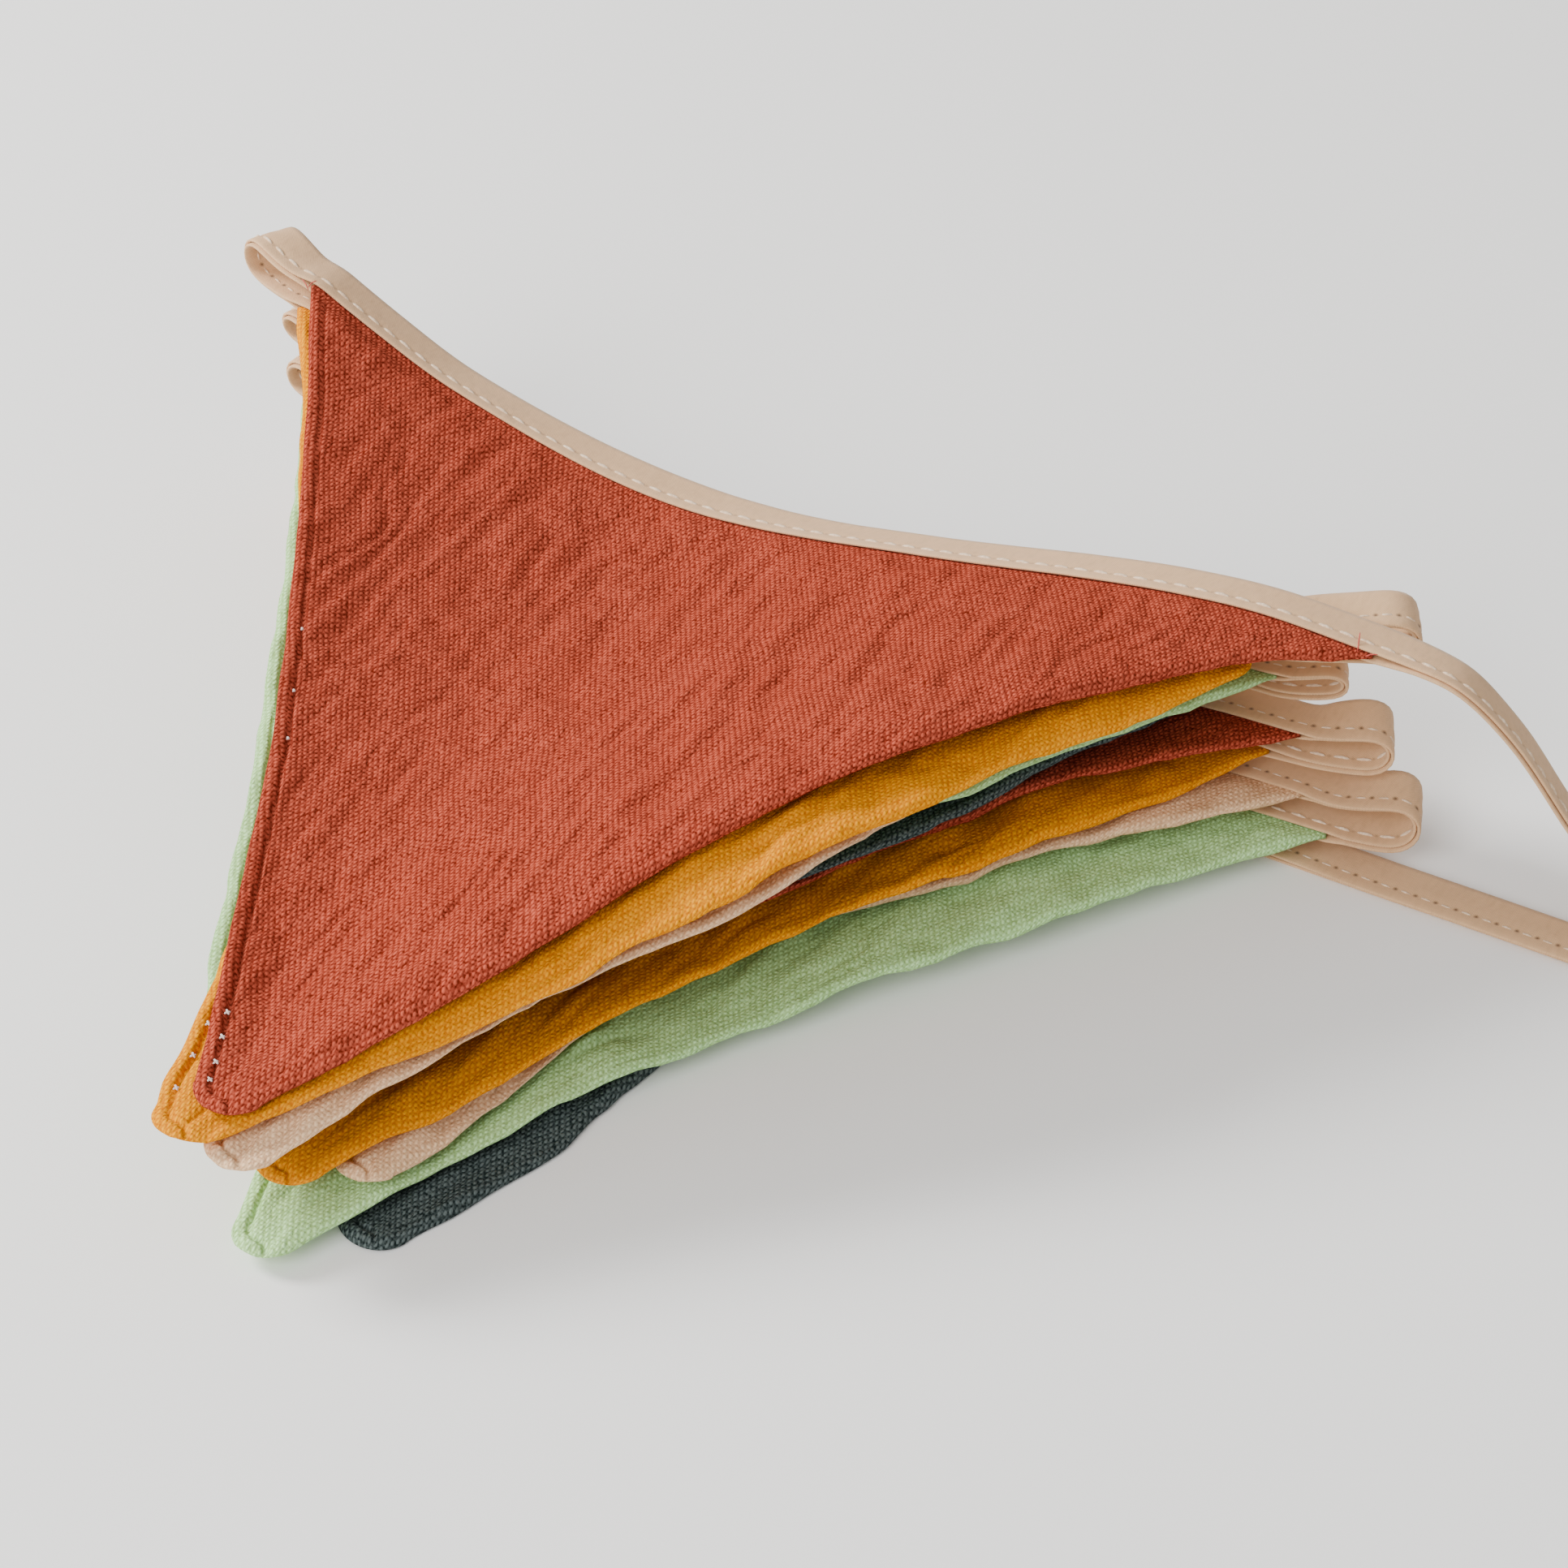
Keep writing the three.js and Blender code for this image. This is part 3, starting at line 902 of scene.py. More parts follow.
@dataclass
class Outline:
    """The outline of a flag in plan, with the small waves of its edges.

    Attributes:
        cut: The flag's cut.
        seed: What its edge waves are drawn from.
        tip_radius: Radius of the rounded point.
        ripple: How far the edges wave to and fro.
        ripple_length: About how long one such wave is.
        small_share: Height of the smaller waves on them, as a share.
        small_pitch: How many of those there are to a large one.
        side_rows: The left edge's rows in the noise, of its large and its small waves.
        front_rows: The front edge's rows.
        tape_fade: Length from the tape over which the waves begin.
    """

    cut: Cut
    seed: int
    tip_radius: float = 6.5
    ripple: float = 0.55
    ripple_length: float = 9.0
    small_share: float = 0.45
    small_pitch: float = 2.7
    side_rows: tuple[float, float] = (3.5, 9.5)
    front_rows: tuple[float, float] = (21.5, 31.5)
    tape_fade: float = 8.0

    def __post_init__(self) -> None:
        """Works out the straight triangle and its inscribed round tip."""
        left = np.array(self.cut.left, float)
        right = np.array(self.cut.right, float)
        self.tip = np.array(self.cut.tip, float)
        self.middle = (left + right) / 2
        self.width = float(np.linalg.norm(right - left))
        self.across_way = (right - left) / self.width
        self.length = float(np.linalg.norm(self.middle - self.tip))
        sharp = math.atan(self.width / 2 / self.length)
        self.beyond = self.tip_radius / math.sin(sharp) - self.tip_radius
        self.apex = math.atan(self.width / 2 / (self.length + self.beyond))
        self.unevenness = Unevenness(self.seed)

    def waves(self, place: Array, rows: tuple[float, float]) -> Array:
        """The waves along one edge.

        Args:
            place: Places along the edge, in large waves.
            rows: The edge's rows in the noise.

        Returns:
            How far the edge stands out.
        """
        large = self.ripple * self.unevenness.at(place, rows[0])
        small = self.unevenness.at(place * self.small_pitch, rows[1])
        return large + self.ripple * self.small_share * small

    def edges(self, down: Array) -> tuple[Array, Array, Array]:
        """The left and the front edge at shares of the way down.

        Args:
            down: Shares of the way from the tape to the tip.

        Returns:
            Left points, front points, and how far a row bows towards the tip.
        """
        to_tip = (1 - down) * self.length
        is_round = to_tip < self.tip_radius * (1 - math.sin(self.apex))
        inside = np.maximum(self.tip_radius**2 - (self.tip_radius - to_tip) ** 2, 0)
        half = np.where(is_round, np.sqrt(inside), (to_tip + self.beyond) * math.tan(self.apex))
        axis = mix(self.middle, self.tip, down[:, None])
        fade = ease(to_tip / self.tip_radius / 2) * ease(down * self.length / self.tape_fade)
        place = down * self.length / self.ripple_length
        side = smooth((0, *SIDE_AT, 1), (0, *self.cut.side, 0), down)
        side = side + self.waves(place, self.side_rows) * fade
        front = smooth((0, *FRONT_AT, 1), (0, *self.cut.front, 0), down)
        front = front + self.waves(place, self.front_rows) * fade
        left = axis - self.across_way * (half + side)[:, None]
        right = axis + self.across_way * (half + front)[:, None]
        return left, right, RUN_BOW * (1 - down) ** 2

    def area(self) -> float:
        """The flag's flat area, from its outline.

        Returns:
            The area in square millimetres.
        """
        left, right, _ = self.edges(np.linspace(0, 1, 200))
        ring = np.vstack([left, right[::-1]])
        x, y = ring[:, 0], ring[:, 1]
        return float(abs(np.sum(x * np.roll(y, -1) - np.roll(x, -1) * y)) / 2)


@dataclass(frozen=True)
class Detail:
    """How finely a flag is built, and how uneven it is.

    Attributes:
        columns: Steps from the left edge to the front edge.
        rows: Steps from the tape to the tip.
        crinkle: How far its crinkles rise and fall.
        ripple: How far its edges wave to and fro.
    """

    columns: int
    rows: int
    crinkle: float
    ripple: float


TOP_DETAIL = Detail(240, 186, crinkle=0.85, ripple=0.25)
LOWER_DETAIL = Detail(136, 90, crinkle=1.05, ripple=0.8)


@dataclass(frozen=True)
class Crinkles:
    """The crinkles of washed double gauze: soft puffs along the warp, between short valleys.

    Attributes:
        wander: How far the puffs swing sideways.
        wander_cell: Size of a swing on X and on Y.
        puff_cell: Size of a puff.
        puff_power: How round a puff is; less makes its valleys sharper.
        ridge_cell: Size of the ridges between puffs.
        ridge_wander: Share of the swing that the ridges follow.
        cross_cell: Size of the creases across the puffs.
        small_cell: Size of the finest bumps.
        swell_cell: Size of the slow swell under all.
        patch_cell: Size of the patches that favour puffs or cross creases.
        patch_place: Where in the noise those are read.
        patch_change: How strongly they do.
        centre: X at which neither is favoured on the whole.
        turn_over: Length on X over which that changes.
        favour: Its limits.
        puff_share: Height of the puffs.
        ridge_share: Height of the ridges.
        small_share: Height of the finest bumps.
        swell_share: Height of the swell.
        lengthwise: Least and most share of puffs and ridges.
        crosswise: Share of the cross creases in the same two places.
    """

    wander: float = 2.4
    wander_cell: tuple[float, float] = (11, 11)
    puff_cell: tuple[float, float] = (2.9, 12)
    puff_power: float = 0.65
    ridge_cell: tuple[float, float] = (2.2, 9)
    ridge_wander: float = 0.6
    cross_cell: tuple[float, float] = (5.5, 2.9)
    small_cell: tuple[float, float] = (1.9, 2.3)
    swell_cell: tuple[float, float] = (12, 22)
    patch_cell: float = 30.0
    patch_place: float = 50.0
    patch_change: float = 0.8
    centre: float = -45.0
    turn_over: float = 70.0
    favour: tuple[float, float] = (-0.6, 0.4)
    puff_share: float = 0.75
    ridge_share: float = 0.42
    small_share: float = 0.14
    swell_share: float = 0.25
    lengthwise: tuple[float, float] = (0.55, 1.1)
    crosswise: tuple[float, float] = (0.42, 0.12)

    def at(self, noise: Sequence[Unevenness], x: Array, y: Array) -> Array:
        """The crinkles over a flag's grid.

        Args:
            noise: The flag's own unevenness, six of it.
            x: The grid's X.
            y: The grid's Y.

        Returns:
            Their height, from about -1 to 1.
        """
        wander = self.wander * noise[0].over(x, y, self.wander_cell)
        puffs = np.abs(noise[1].over(x + wander, y, self.puff_cell)) ** self.puff_power - 0.5
        ridges = noise[2].over(x + self.ridge_wander * wander, y, self.ridge_cell)
        cross = noise[3].over(x - wander, y, self.cross_cell)
        small = noise[4].over(x, y, self.small_cell)
        swell = noise[5].over(x, y, self.swell_cell)
        changes = noise[0].at(x / self.patch_cell + self.patch_place, y / self.patch_cell)
        favoured = np.clip((x - self.centre) / self.turn_over, *self.favour)
        patch = ease(0.5 + self.patch_change * changes + favoured)
        lengthwise = self.puff_share * puffs + self.ridge_share * ridges
        woven = lengthwise * mix(*self.lengthwise, patch) + cross * mix(*self.crosswise, patch)
        return woven + self.small_share * small + self.swell_share * swell


@dataclass
class Flag:
    """One flag: a flat bag of double gauze, turned right side out, so that its edges are soft and round.

    Attributes:
        layer: Its place in the pile, from 0 at the top.
        cut: Its cut.
        pile: The pile that it lies in.
        detail: How finely it is built, and how uneven it is.
        crinkles: The shape of its crinkles.
        puff: Half its thickness where it has room.
        puff_share: Its usual share of that.
        puff_change: How far the share changes from place to place.
        puff_cell: Size of such a place on X and on Y.
        puff_place: Where in the noise they are read.
        thinnest: Half its least thickness.
        clear: Half the distance that is kept between two flags.
        crinkle_room: Share of the crinkles for which room is kept.
        round_edge: Radius of its soft edge.
        tip_from: Share of the tip's radius that the closer rows fill.
        tip_rows: How many closer rows there are.
        tip_left: How far the last of them stays from the tip, in rows.
        edge_crowding: How much closer the columns are at the edges.
        into_tape: How far the rows that the tape hides reach into it.
        narrows: How much narrower they are for each millimetre of that.
        seam_half: Half the thickness of the edge that is sewn in.
        seam_thins: How much thinner it is for each millimetre into the tape.
        filled_from: Length from the tape over which the flag fills out.
        settled_from: Length from the tape over which it comes to its own height.
        free_from: Length from the tape over which its details begin.
        calm_edge: Length from its edges over which the crinkles grow.
        edge_crinkle: Share of the crinkles at the edges.
        under_crinkle: Share of the crinkles in the under layer.
        wave_share: Height of its long swell, as a share of the room.
        wave_across: Turn of the swell for each millimetre on X, in radians.
        wave_down: Turn for each millimetre on Y.
        layer_room: Distance between flags that leaves it no room.
        groove_inset: The seam groove's distance from the left edge.
        groove_width: Half its width.
        groove_depth: Its depth.
        groove_deeper: Factors of the depth at the tape and at the tip.
        groove_reach: Length on Y over which those change.
        groove_step: Share of the way down over which its direction is read.
        border: Height of the ridge outside it.
        border_inset: That ridge's distance from the left edge.
        border_width: Half its width.
        pucker: Height of the puckers along the seam.
        pucker_inset: Their distance from the left edge.
        pucker_width: Half the width of their band.
        pucker_cell: Size of one along and across the seam.
        pucker_slant: How far they slant.
        streak: Height of the creases that fan out from the tip.
        streak_fan: How many of them there are to a radian.
        streak_place: Where in the noise they are read.
        streak_cell: Length after which they change.
        streak_from: Distance from the tip at which they begin.
        streak_grow: Length over which they grow.
        streak_to: Distance from the tip at which they end.
        streak_fade: Length over which they fade.
        lowest_thin: Half the least thickness of the lowest flag.
        corner_puff: The share of its puff at its right corner.
        corner_x: X at which that holds.
        corner_fade: Length over which it fades.
        weave_wander: How far its threads wander.
        weave_cell: Over what length they do.
        weave_place: Where in the noise that is read.
        bake_size: Its own size as a share of a side's place for baked colours.
        bake_upper: Corner of the upper side's place.
        bake_under: Corner of the under side's place.
    """

    layer: int
    cut: Cut
    pile: Pile
    detail: Detail
    crinkles: Crinkles = Crinkles()
    puff: float = 1.6
    puff_share: float = 0.95
    puff_change: float = 0.32
    puff_cell: tuple[float, float] = (6.0, 9.0)
    puff_place: float = 20.0
    thinnest: float = 0.55
    clear: float = 0.1
    crinkle_room: float = 0.7
    round_edge: float = 1.5
    tip_from: float = 0.5
    tip_rows: int = 14
    tip_left: float = 0.35
    edge_crowding: float = 0.6
    into_tape: tuple[float, ...] = (3.0, 2.0, 1.0)
    narrows: float = 0.004
    seam_half: float = 0.34
    seam_thins: float = 0.08
    filled_from: float = 4.0
    settled_from: float = 6.0
    free_from: float = 3.0
    calm_edge: float = 4.0
    edge_crinkle: float = 0.5
    under_crinkle: float = 0.8
    wave_share: float = 0.22
    wave_across: float = 0.07
    wave_down: float = 0.045
    layer_room: float = 2.15
    groove_inset: float = 2.3
    groove_width: float = 0.34
    groove_depth: float = 0.55
    groove_deeper: tuple[float, float] = (0.6, 1.1)
    groove_reach: float = 110.0
    groove_step: float = 0.01
    border: float = 0.14
    border_inset: float = 1.3
    border_width: float = 0.9
    pucker: float = 0.05
    pucker_inset: float = 1.6
    pucker_width: float = 1.8
    pucker_cell: tuple[float, float] = (0.9, 2.5)
    pucker_slant: float = 0.3
    streak: float = 0.6
    streak_fan: float = 9.0
    streak_place: float = 30.0
    streak_cell: float = 30.0
    streak_from: float = 7.0
    streak_grow: float = 14.0
    streak_to: float = 72.0
    streak_fade: float = 40.0
    lowest_thin: float = 0.4
    corner_puff: float = 0.4
    corner_x: float = 62.0
    corner_fade: float = 45.0
    weave_wander: float = 0.16
    weave_cell: float = 7.0
    weave_place: float = 40.0
    bake_size: float = 2.1
    bake_upper: tuple[float, float] = (0.01, 0.01)
    bake_under: tuple[float, float] = (0.51, 0.01)

    def __post_init__(self) -> None:
        """Prepares the outline and the cloth's unevenness."""
        self.outline = Outline(self.cut, seed=40 + self.layer, ripple=self.detail.ripple)
        self.noise = [Unevenness(100 + 10 * self.layer + k) for k in range(6)]

    @property
    def node(self) -> str:
        """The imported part's node that this flag stands for."""
        return f"flag_{self.layer + 1:02d}_{self.cut.cloth.value}"

    @property
    def name(self) -> str:
        """This piece's own name."""
        return f"gauze_flag_{self.layer + 1:02d}"

    def plan(self) -> tuple[Array, Array, Array]:
        """The grid of points in plan, and how far each is behind and in front of the tape's edge.

        Returns:
            X, Y, and the distance from the tape's front edge, which is negative inside the tape.
        """
        outline = self.outline
        round_from = 1 - outline.tip_radius * self.tip_from / outline.length
        main = np.linspace(0, round_from, self.detail.rows + 1)
        rest = 1 - np.arange(1, self.tip_rows + 1) / (self.tip_rows + self.tip_left)
        down = np.concatenate([main, 1 - (1 - round_from) * rest**2])
        left, right, bow = outline.edges(down)
        step = np.linspace(0, 1, self.detail.columns + 1)
        across = step - self.edge_crowding / (2 * math.pi) * np.sin(2 * math.pi * step)
        x = mix(left[:, :1], right[:, :1], across)
        y = mix(left[:, 1:], right[:, 1:], across) - bow[:, None] * hump(across)
        from_tape = y[:1] - y
        hidden_x = [x[0] + (x[0].mean() - x[0]) * self.narrows * reach for reach in self.into_tape]
        hidden_y = [y[0] + reach for reach in self.into_tape]
        hidden = [np.full_like(y[0], -reach) for reach in self.into_tape]
        return np.vstack([*hidden_x, x]), np.vstack([*hidden_y, y]), np.vstack([*hidden, from_tape])

    def distances(self, x: Array, y: Array) -> tuple[Array, Array, Array]:
        """Distances in plan to the left edge and to the front edge.

        Args:
            x: The grid's X.
            y: The grid's Y.

        Returns:
            Distance to the left edge, distance to the front edge, and the way outwards to the nearer one.
        """
        first = len(self.into_tape)
        spacing = 0.35
        found = []
        for column, outside in ((0, -1), (-1, 1)):
            px, py = x[first:, column], y[first:, column]
            length = np.concatenate([[0], np.cumsum(np.hypot(np.diff(px), np.diff(py)))])
            fine = np.linspace(0, length[-1], int(length[-1] / spacing))
            ring = np.stack([np.interp(fine, length, px), np.interp(fine, length, py)], -1)
            run = np.gradient(ring, axis=0)
            run /= np.linalg.norm(run, axis=1, keepdims=True)
            outwards = np.stack([-run[:, 1], run[:, 0]], -1) * outside
            away = np.empty_like(x)
            ways = np.empty((*x.shape, 2))
            for r in range(len(x)):
                offset = np.stack([x[r][:, None] - ring[:, 0], y[r][:, None] - ring[:, 1]], -1)
                square = (offset**2).sum(-1)
                nearest = square.argmin(1)
                each = np.arange(len(nearest))
                ways[r] = outwards[nearest]
                beside = np.abs((offset[each, nearest] * outwards[nearest]).sum(-1))
                along = np.abs((offset[each, nearest] * run[nearest]).sum(-1))
                away[r] = np.where(along < spacing, beside, np.sqrt(square[each, nearest]))
            away[:, column] = 0
            found.append((away, ways))
        (to_left, left_ways), (to_front, front_ways) = found
        return to_left, to_front, np.where((to_left < to_front)[..., None], left_ways, front_ways)

    def tip_streaks(self, x: Array, y: Array) -> Array:
        """Long creases that fan out from the tip.

        Args:
            x: The grid's X.
            y: The grid's Y.

        Returns:
            Their height.
        """
        off_x, off_y = x - self.cut.tip[0], y - self.cut.tip[1]
        reach = np.hypot(off_x, off_y)
        angle = np.arctan2(off_x, off_y)
        fan = self.noise[2].at(angle * self.streak_fan + self.streak_place, reach / self.streak_cell)
        grown = ease((reach - self.streak_from) / self.streak_grow)
        return self.streak * fan * grown * ease((self.streak_to - reach) / self.streak_fade)

    def seam_relief(self, x: Array, y: Array, to_left: Array) -> Array:
        """The left edge's seam: a groove with a low ridge outside it, and puckers.

        Args:
            x: The grid's X.
            y: The grid's Y.
            to_left: Distance to the left edge.

        Returns:
            Its height.
        """
        deeper = mix(*self.groove_deeper, ease(-y / self.groove_reach))
        groove = self.groove_depth * deeper * bell(to_left - self.groove_inset, self.groove_width)
        tug = self.noise[3].over(y - self.pucker_slant * x, to_left, self.pucker_cell)
        puckers = self.pucker * tug * bell(to_left - self.pucker_inset, self.pucker_width)
        return self.border * bell(to_left - self.border_inset, self.border_width) + puckers - groove

    def middle(self, x: Array, y: Array, from_tape: Array, room: Array) -> Array:
        """Height halfway between the flag's two layers, before it crinkles.

        Args:
            x: The grid's X.
            y: The grid's Y.
            from_tape: Distance from the tape's front edge.
            room: How much room the flag has for its long swell.

        Returns:
            The height.
        """
        pile = self.pile
        wave = self.wave_share * room * np.sin(self.wave_across * x + self.wave_down * y + self.cut.turn)
        own = pile.layer(self.layer, x, y, pile.flag_rest) + wave + pile.folds(self.layer, x, y)
        in_tape = pile.layer(self.layer, x, np.maximum(y, pile.back - RUN_BOW), pile.tape_rest)
        lean = TapePath.lean(self.layer, x, pile)
        in_tape = in_tape - np.maximum(-from_tape, 0) * np.sin(lean)
        return mix(in_tape, own, ease(from_tape / self.settled_from))

    def surfaces(self) -> tuple[Array, Array, Array, Array, Array]:
        """The flag's upper and lower surface.

        Returns:
            X, Y, the upper and the lower height, and how far the cloth reaches outwards round its rim.
        """
        pile = self.pile
        x, y, from_tape = self.plan()
        to_left, to_front, outwards = self.distances(x, y)
        edge = np.minimum(to_left, to_front)
        pitch = pile.pitch(x, y)
        room = pitch + pile.flag_rest / pile.last - self.layer_room
        spare = pitch / 2 - self.clear - self.wave_share * np.maximum(room, 0)
        spare = spare - self.crinkle_room * self.detail.crinkle
        filled = ease(from_tape / self.filled_from)
        free = ease(from_tape / self.free_from)
        change = self.noise[5].at(x / self.puff_cell[0] + self.puff_place, y / self.puff_cell[1])
        half = np.clip(spare, self.thinnest, self.puff) * (self.puff_share + self.puff_change * change)
        half = mix(self.seam_half + self.seam_thins * np.minimum(from_tape, 0), half, filled)
        near = np.clip(edge / self.round_edge, 0, 1)
        roundness = np.sqrt(np.maximum(1 - (1 - near) ** 2, 0))
        crumple = self.detail.crinkle * self.crinkles.at(self.noise, x, y)
        crumple = crumple * mix(self.edge_crinkle, 1, ease(edge / self.calm_edge))
        crumple = (crumple + self.tip_streaks(x, y)) * free
        relief = self.seam_relief(x, y, to_left) * free
        if self.layer == pile.last:
            corner = mix(self.corner_puff, 1, ease((self.corner_x - x) / self.corner_fade))
            lift = mix(self.seam_half, np.clip(spare, self.lowest_thin, self.puff) * corner, filled)
            lower = lift * (1 - roundness)
            upper = lower + (2 * lift + relief + crumple + self.detail.crinkle * free) * roundness
        else:
            middle = self.middle(x, y, from_tape, room)
            upper = middle + crumple + (half + relief) * roundness
            lower = middle + crumple * self.under_crinkle - half * roundness
        join = (upper + lower) / 2
        for column in (0, -1):
            upper[:, column] = lower[:, column] = join[:, column]
        upper[-1] = lower[-1] = join[-1]
        quarter = math.pi / 2 * np.sqrt((self.round_edge**2 + half**2) / 2)
        turned = quarter * np.arcsin(1 - near) / (math.pi / 2) - self.round_edge * (1 - near)
        return x, y, upper, np.maximum(lower, 0), outwards * (turned * free)[..., None]

    def weave_uv(self, x: Array, y: Array, turned: Array) -> Array:
        """Place of each point on the cloth in metres, with threads that wander a little.

        Args:
            x: The grid's X.
            y: The grid's Y.
            turned: How much further the cloth reaches outwards round its rim than in plan.

        Returns:
            The places along and across the threads.
        """
        ax, ay = self.outline.across_way
        flat_x, flat_y = x + turned[..., 0], y + turned[..., 1]
        place = (x / self.weave_cell + self.weave_place, y / self.weave_cell)
        along = flat_x * ax + flat_y * ay + self.weave_wander * self.noise[0].at(*place)
        down = -flat_x * ay + flat_y * ax + self.weave_wander * self.noise[1].at(*place)
        return np.stack([along, down], -1) * MM

    def build(self) -> bpy.types.Object:
        """Builds the flag's mesh and dresses it.

        Returns:
            The flag.
        """
        x, y, upper, lower, turned = self.surfaces()
        rows, columns = x.shape
        top = np.arange(rows * columns).reshape(rows, columns)
        under = top + rows * columns
        under[:, 0], under[:, -1], under[-1] = top[:, 0], top[:, -1], top[-1]
        keep = np.unique(np.concatenate([top.ravel(), under.ravel()]))
        plan = np.stack([x, y], -1).reshape(-1, 2)
        heights = np.concatenate([upper.ravel(), lower.ravel()])
        points = np.column_stack([np.concatenate([plan, plan]), heights])
        renumber = np.full(len(points), -1)
        renumber[keep] = np.arange(len(keep))
        seen_above = (top[:-1, :-1], top[1:, :-1], top[1:, 1:], top[:-1, 1:])
        seen_below = (under[:-1, :-1], under[:-1, 1:], under[1:, 1:], under[1:, :-1])
        upper_faces = np.stack(seen_above, -1).reshape(-1, 4)
        lower_faces = np.stack(seen_below, -1).reshape(-1, 4)
        faces = renumber[np.concatenate([upper_faces, lower_faces])].tolist()
        for c in range(columns - 1):
            ring = [top[0, c + 1], under[0, c + 1], under[0, c], top[0, c]]
            faces.append([int(renumber[i]) for i in dict.fromkeys(ring)])
        weave = self.weave_uv(x, y, turned).reshape(-1, 2)
        weave = np.concatenate([weave, weave])[keep]
        flat = (plan - plan.min(0)) / (np.ptp(plan, axis=0).max() * self.bake_size)
        flat = np.concatenate([flat, flat])[keep]
        corners = np.concatenate([np.array(face) for face in faces])
        is_under = np.arange(len(corners)) >= upper_faces.size
        baked = flat[corners] + np.where(is_under[:, None], self.bake_under, self.bake_upper)
        uvs = {"Cloth": weave[corners], "OFBake": baked}
        finish = GAUZE[self.cut.cloth].material(self.name)
        piece = build_mesh(self.name, points[keep], faces, uvs, finish)
        self.declare(piece)
        return piece

    def declare(self, piece: bpy.types.Object) -> None:
        """Attaches the flag to the pile's body and hides the imported part that it stands for.

        Args:
            piece: The flag's object.
        """
        below = CUTS[self.layer + 1].cloth.value if self.layer < self.pile.last else ""
        rests_on = f"flag_{self.layer + 2:02d}_{below}" if below else "floor"
        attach(piece, BODY)
        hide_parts(self.node)
        self.outline.area() * MM * MM

    def groove_point(self, down: float, lift: float) -> tuple[Array, Array]:
        """A point on the seam's groove along the left edge, and the way that the groove runs there.

        Args:
            down: Share of the way from the tape to the tip.
            lift: How far above the cloth's middle.

        Returns:
            The point and the direction.
        """
        left, right, _ = self.outline.edges(np.array([down, down + self.groove_step]))
        run = left[1] - left[0]
        run = run / np.linalg.norm(run)
        inwards = np.array([-run[1], run[0]])
        x, y = left[0] + inwards * self.groove_inset
        z = float(self.pile.layer(self.layer, x, y, self.pile.flag_rest)) + lift
        return np.array([x, y, z]), np.array([run[0], run[1], 0.0])


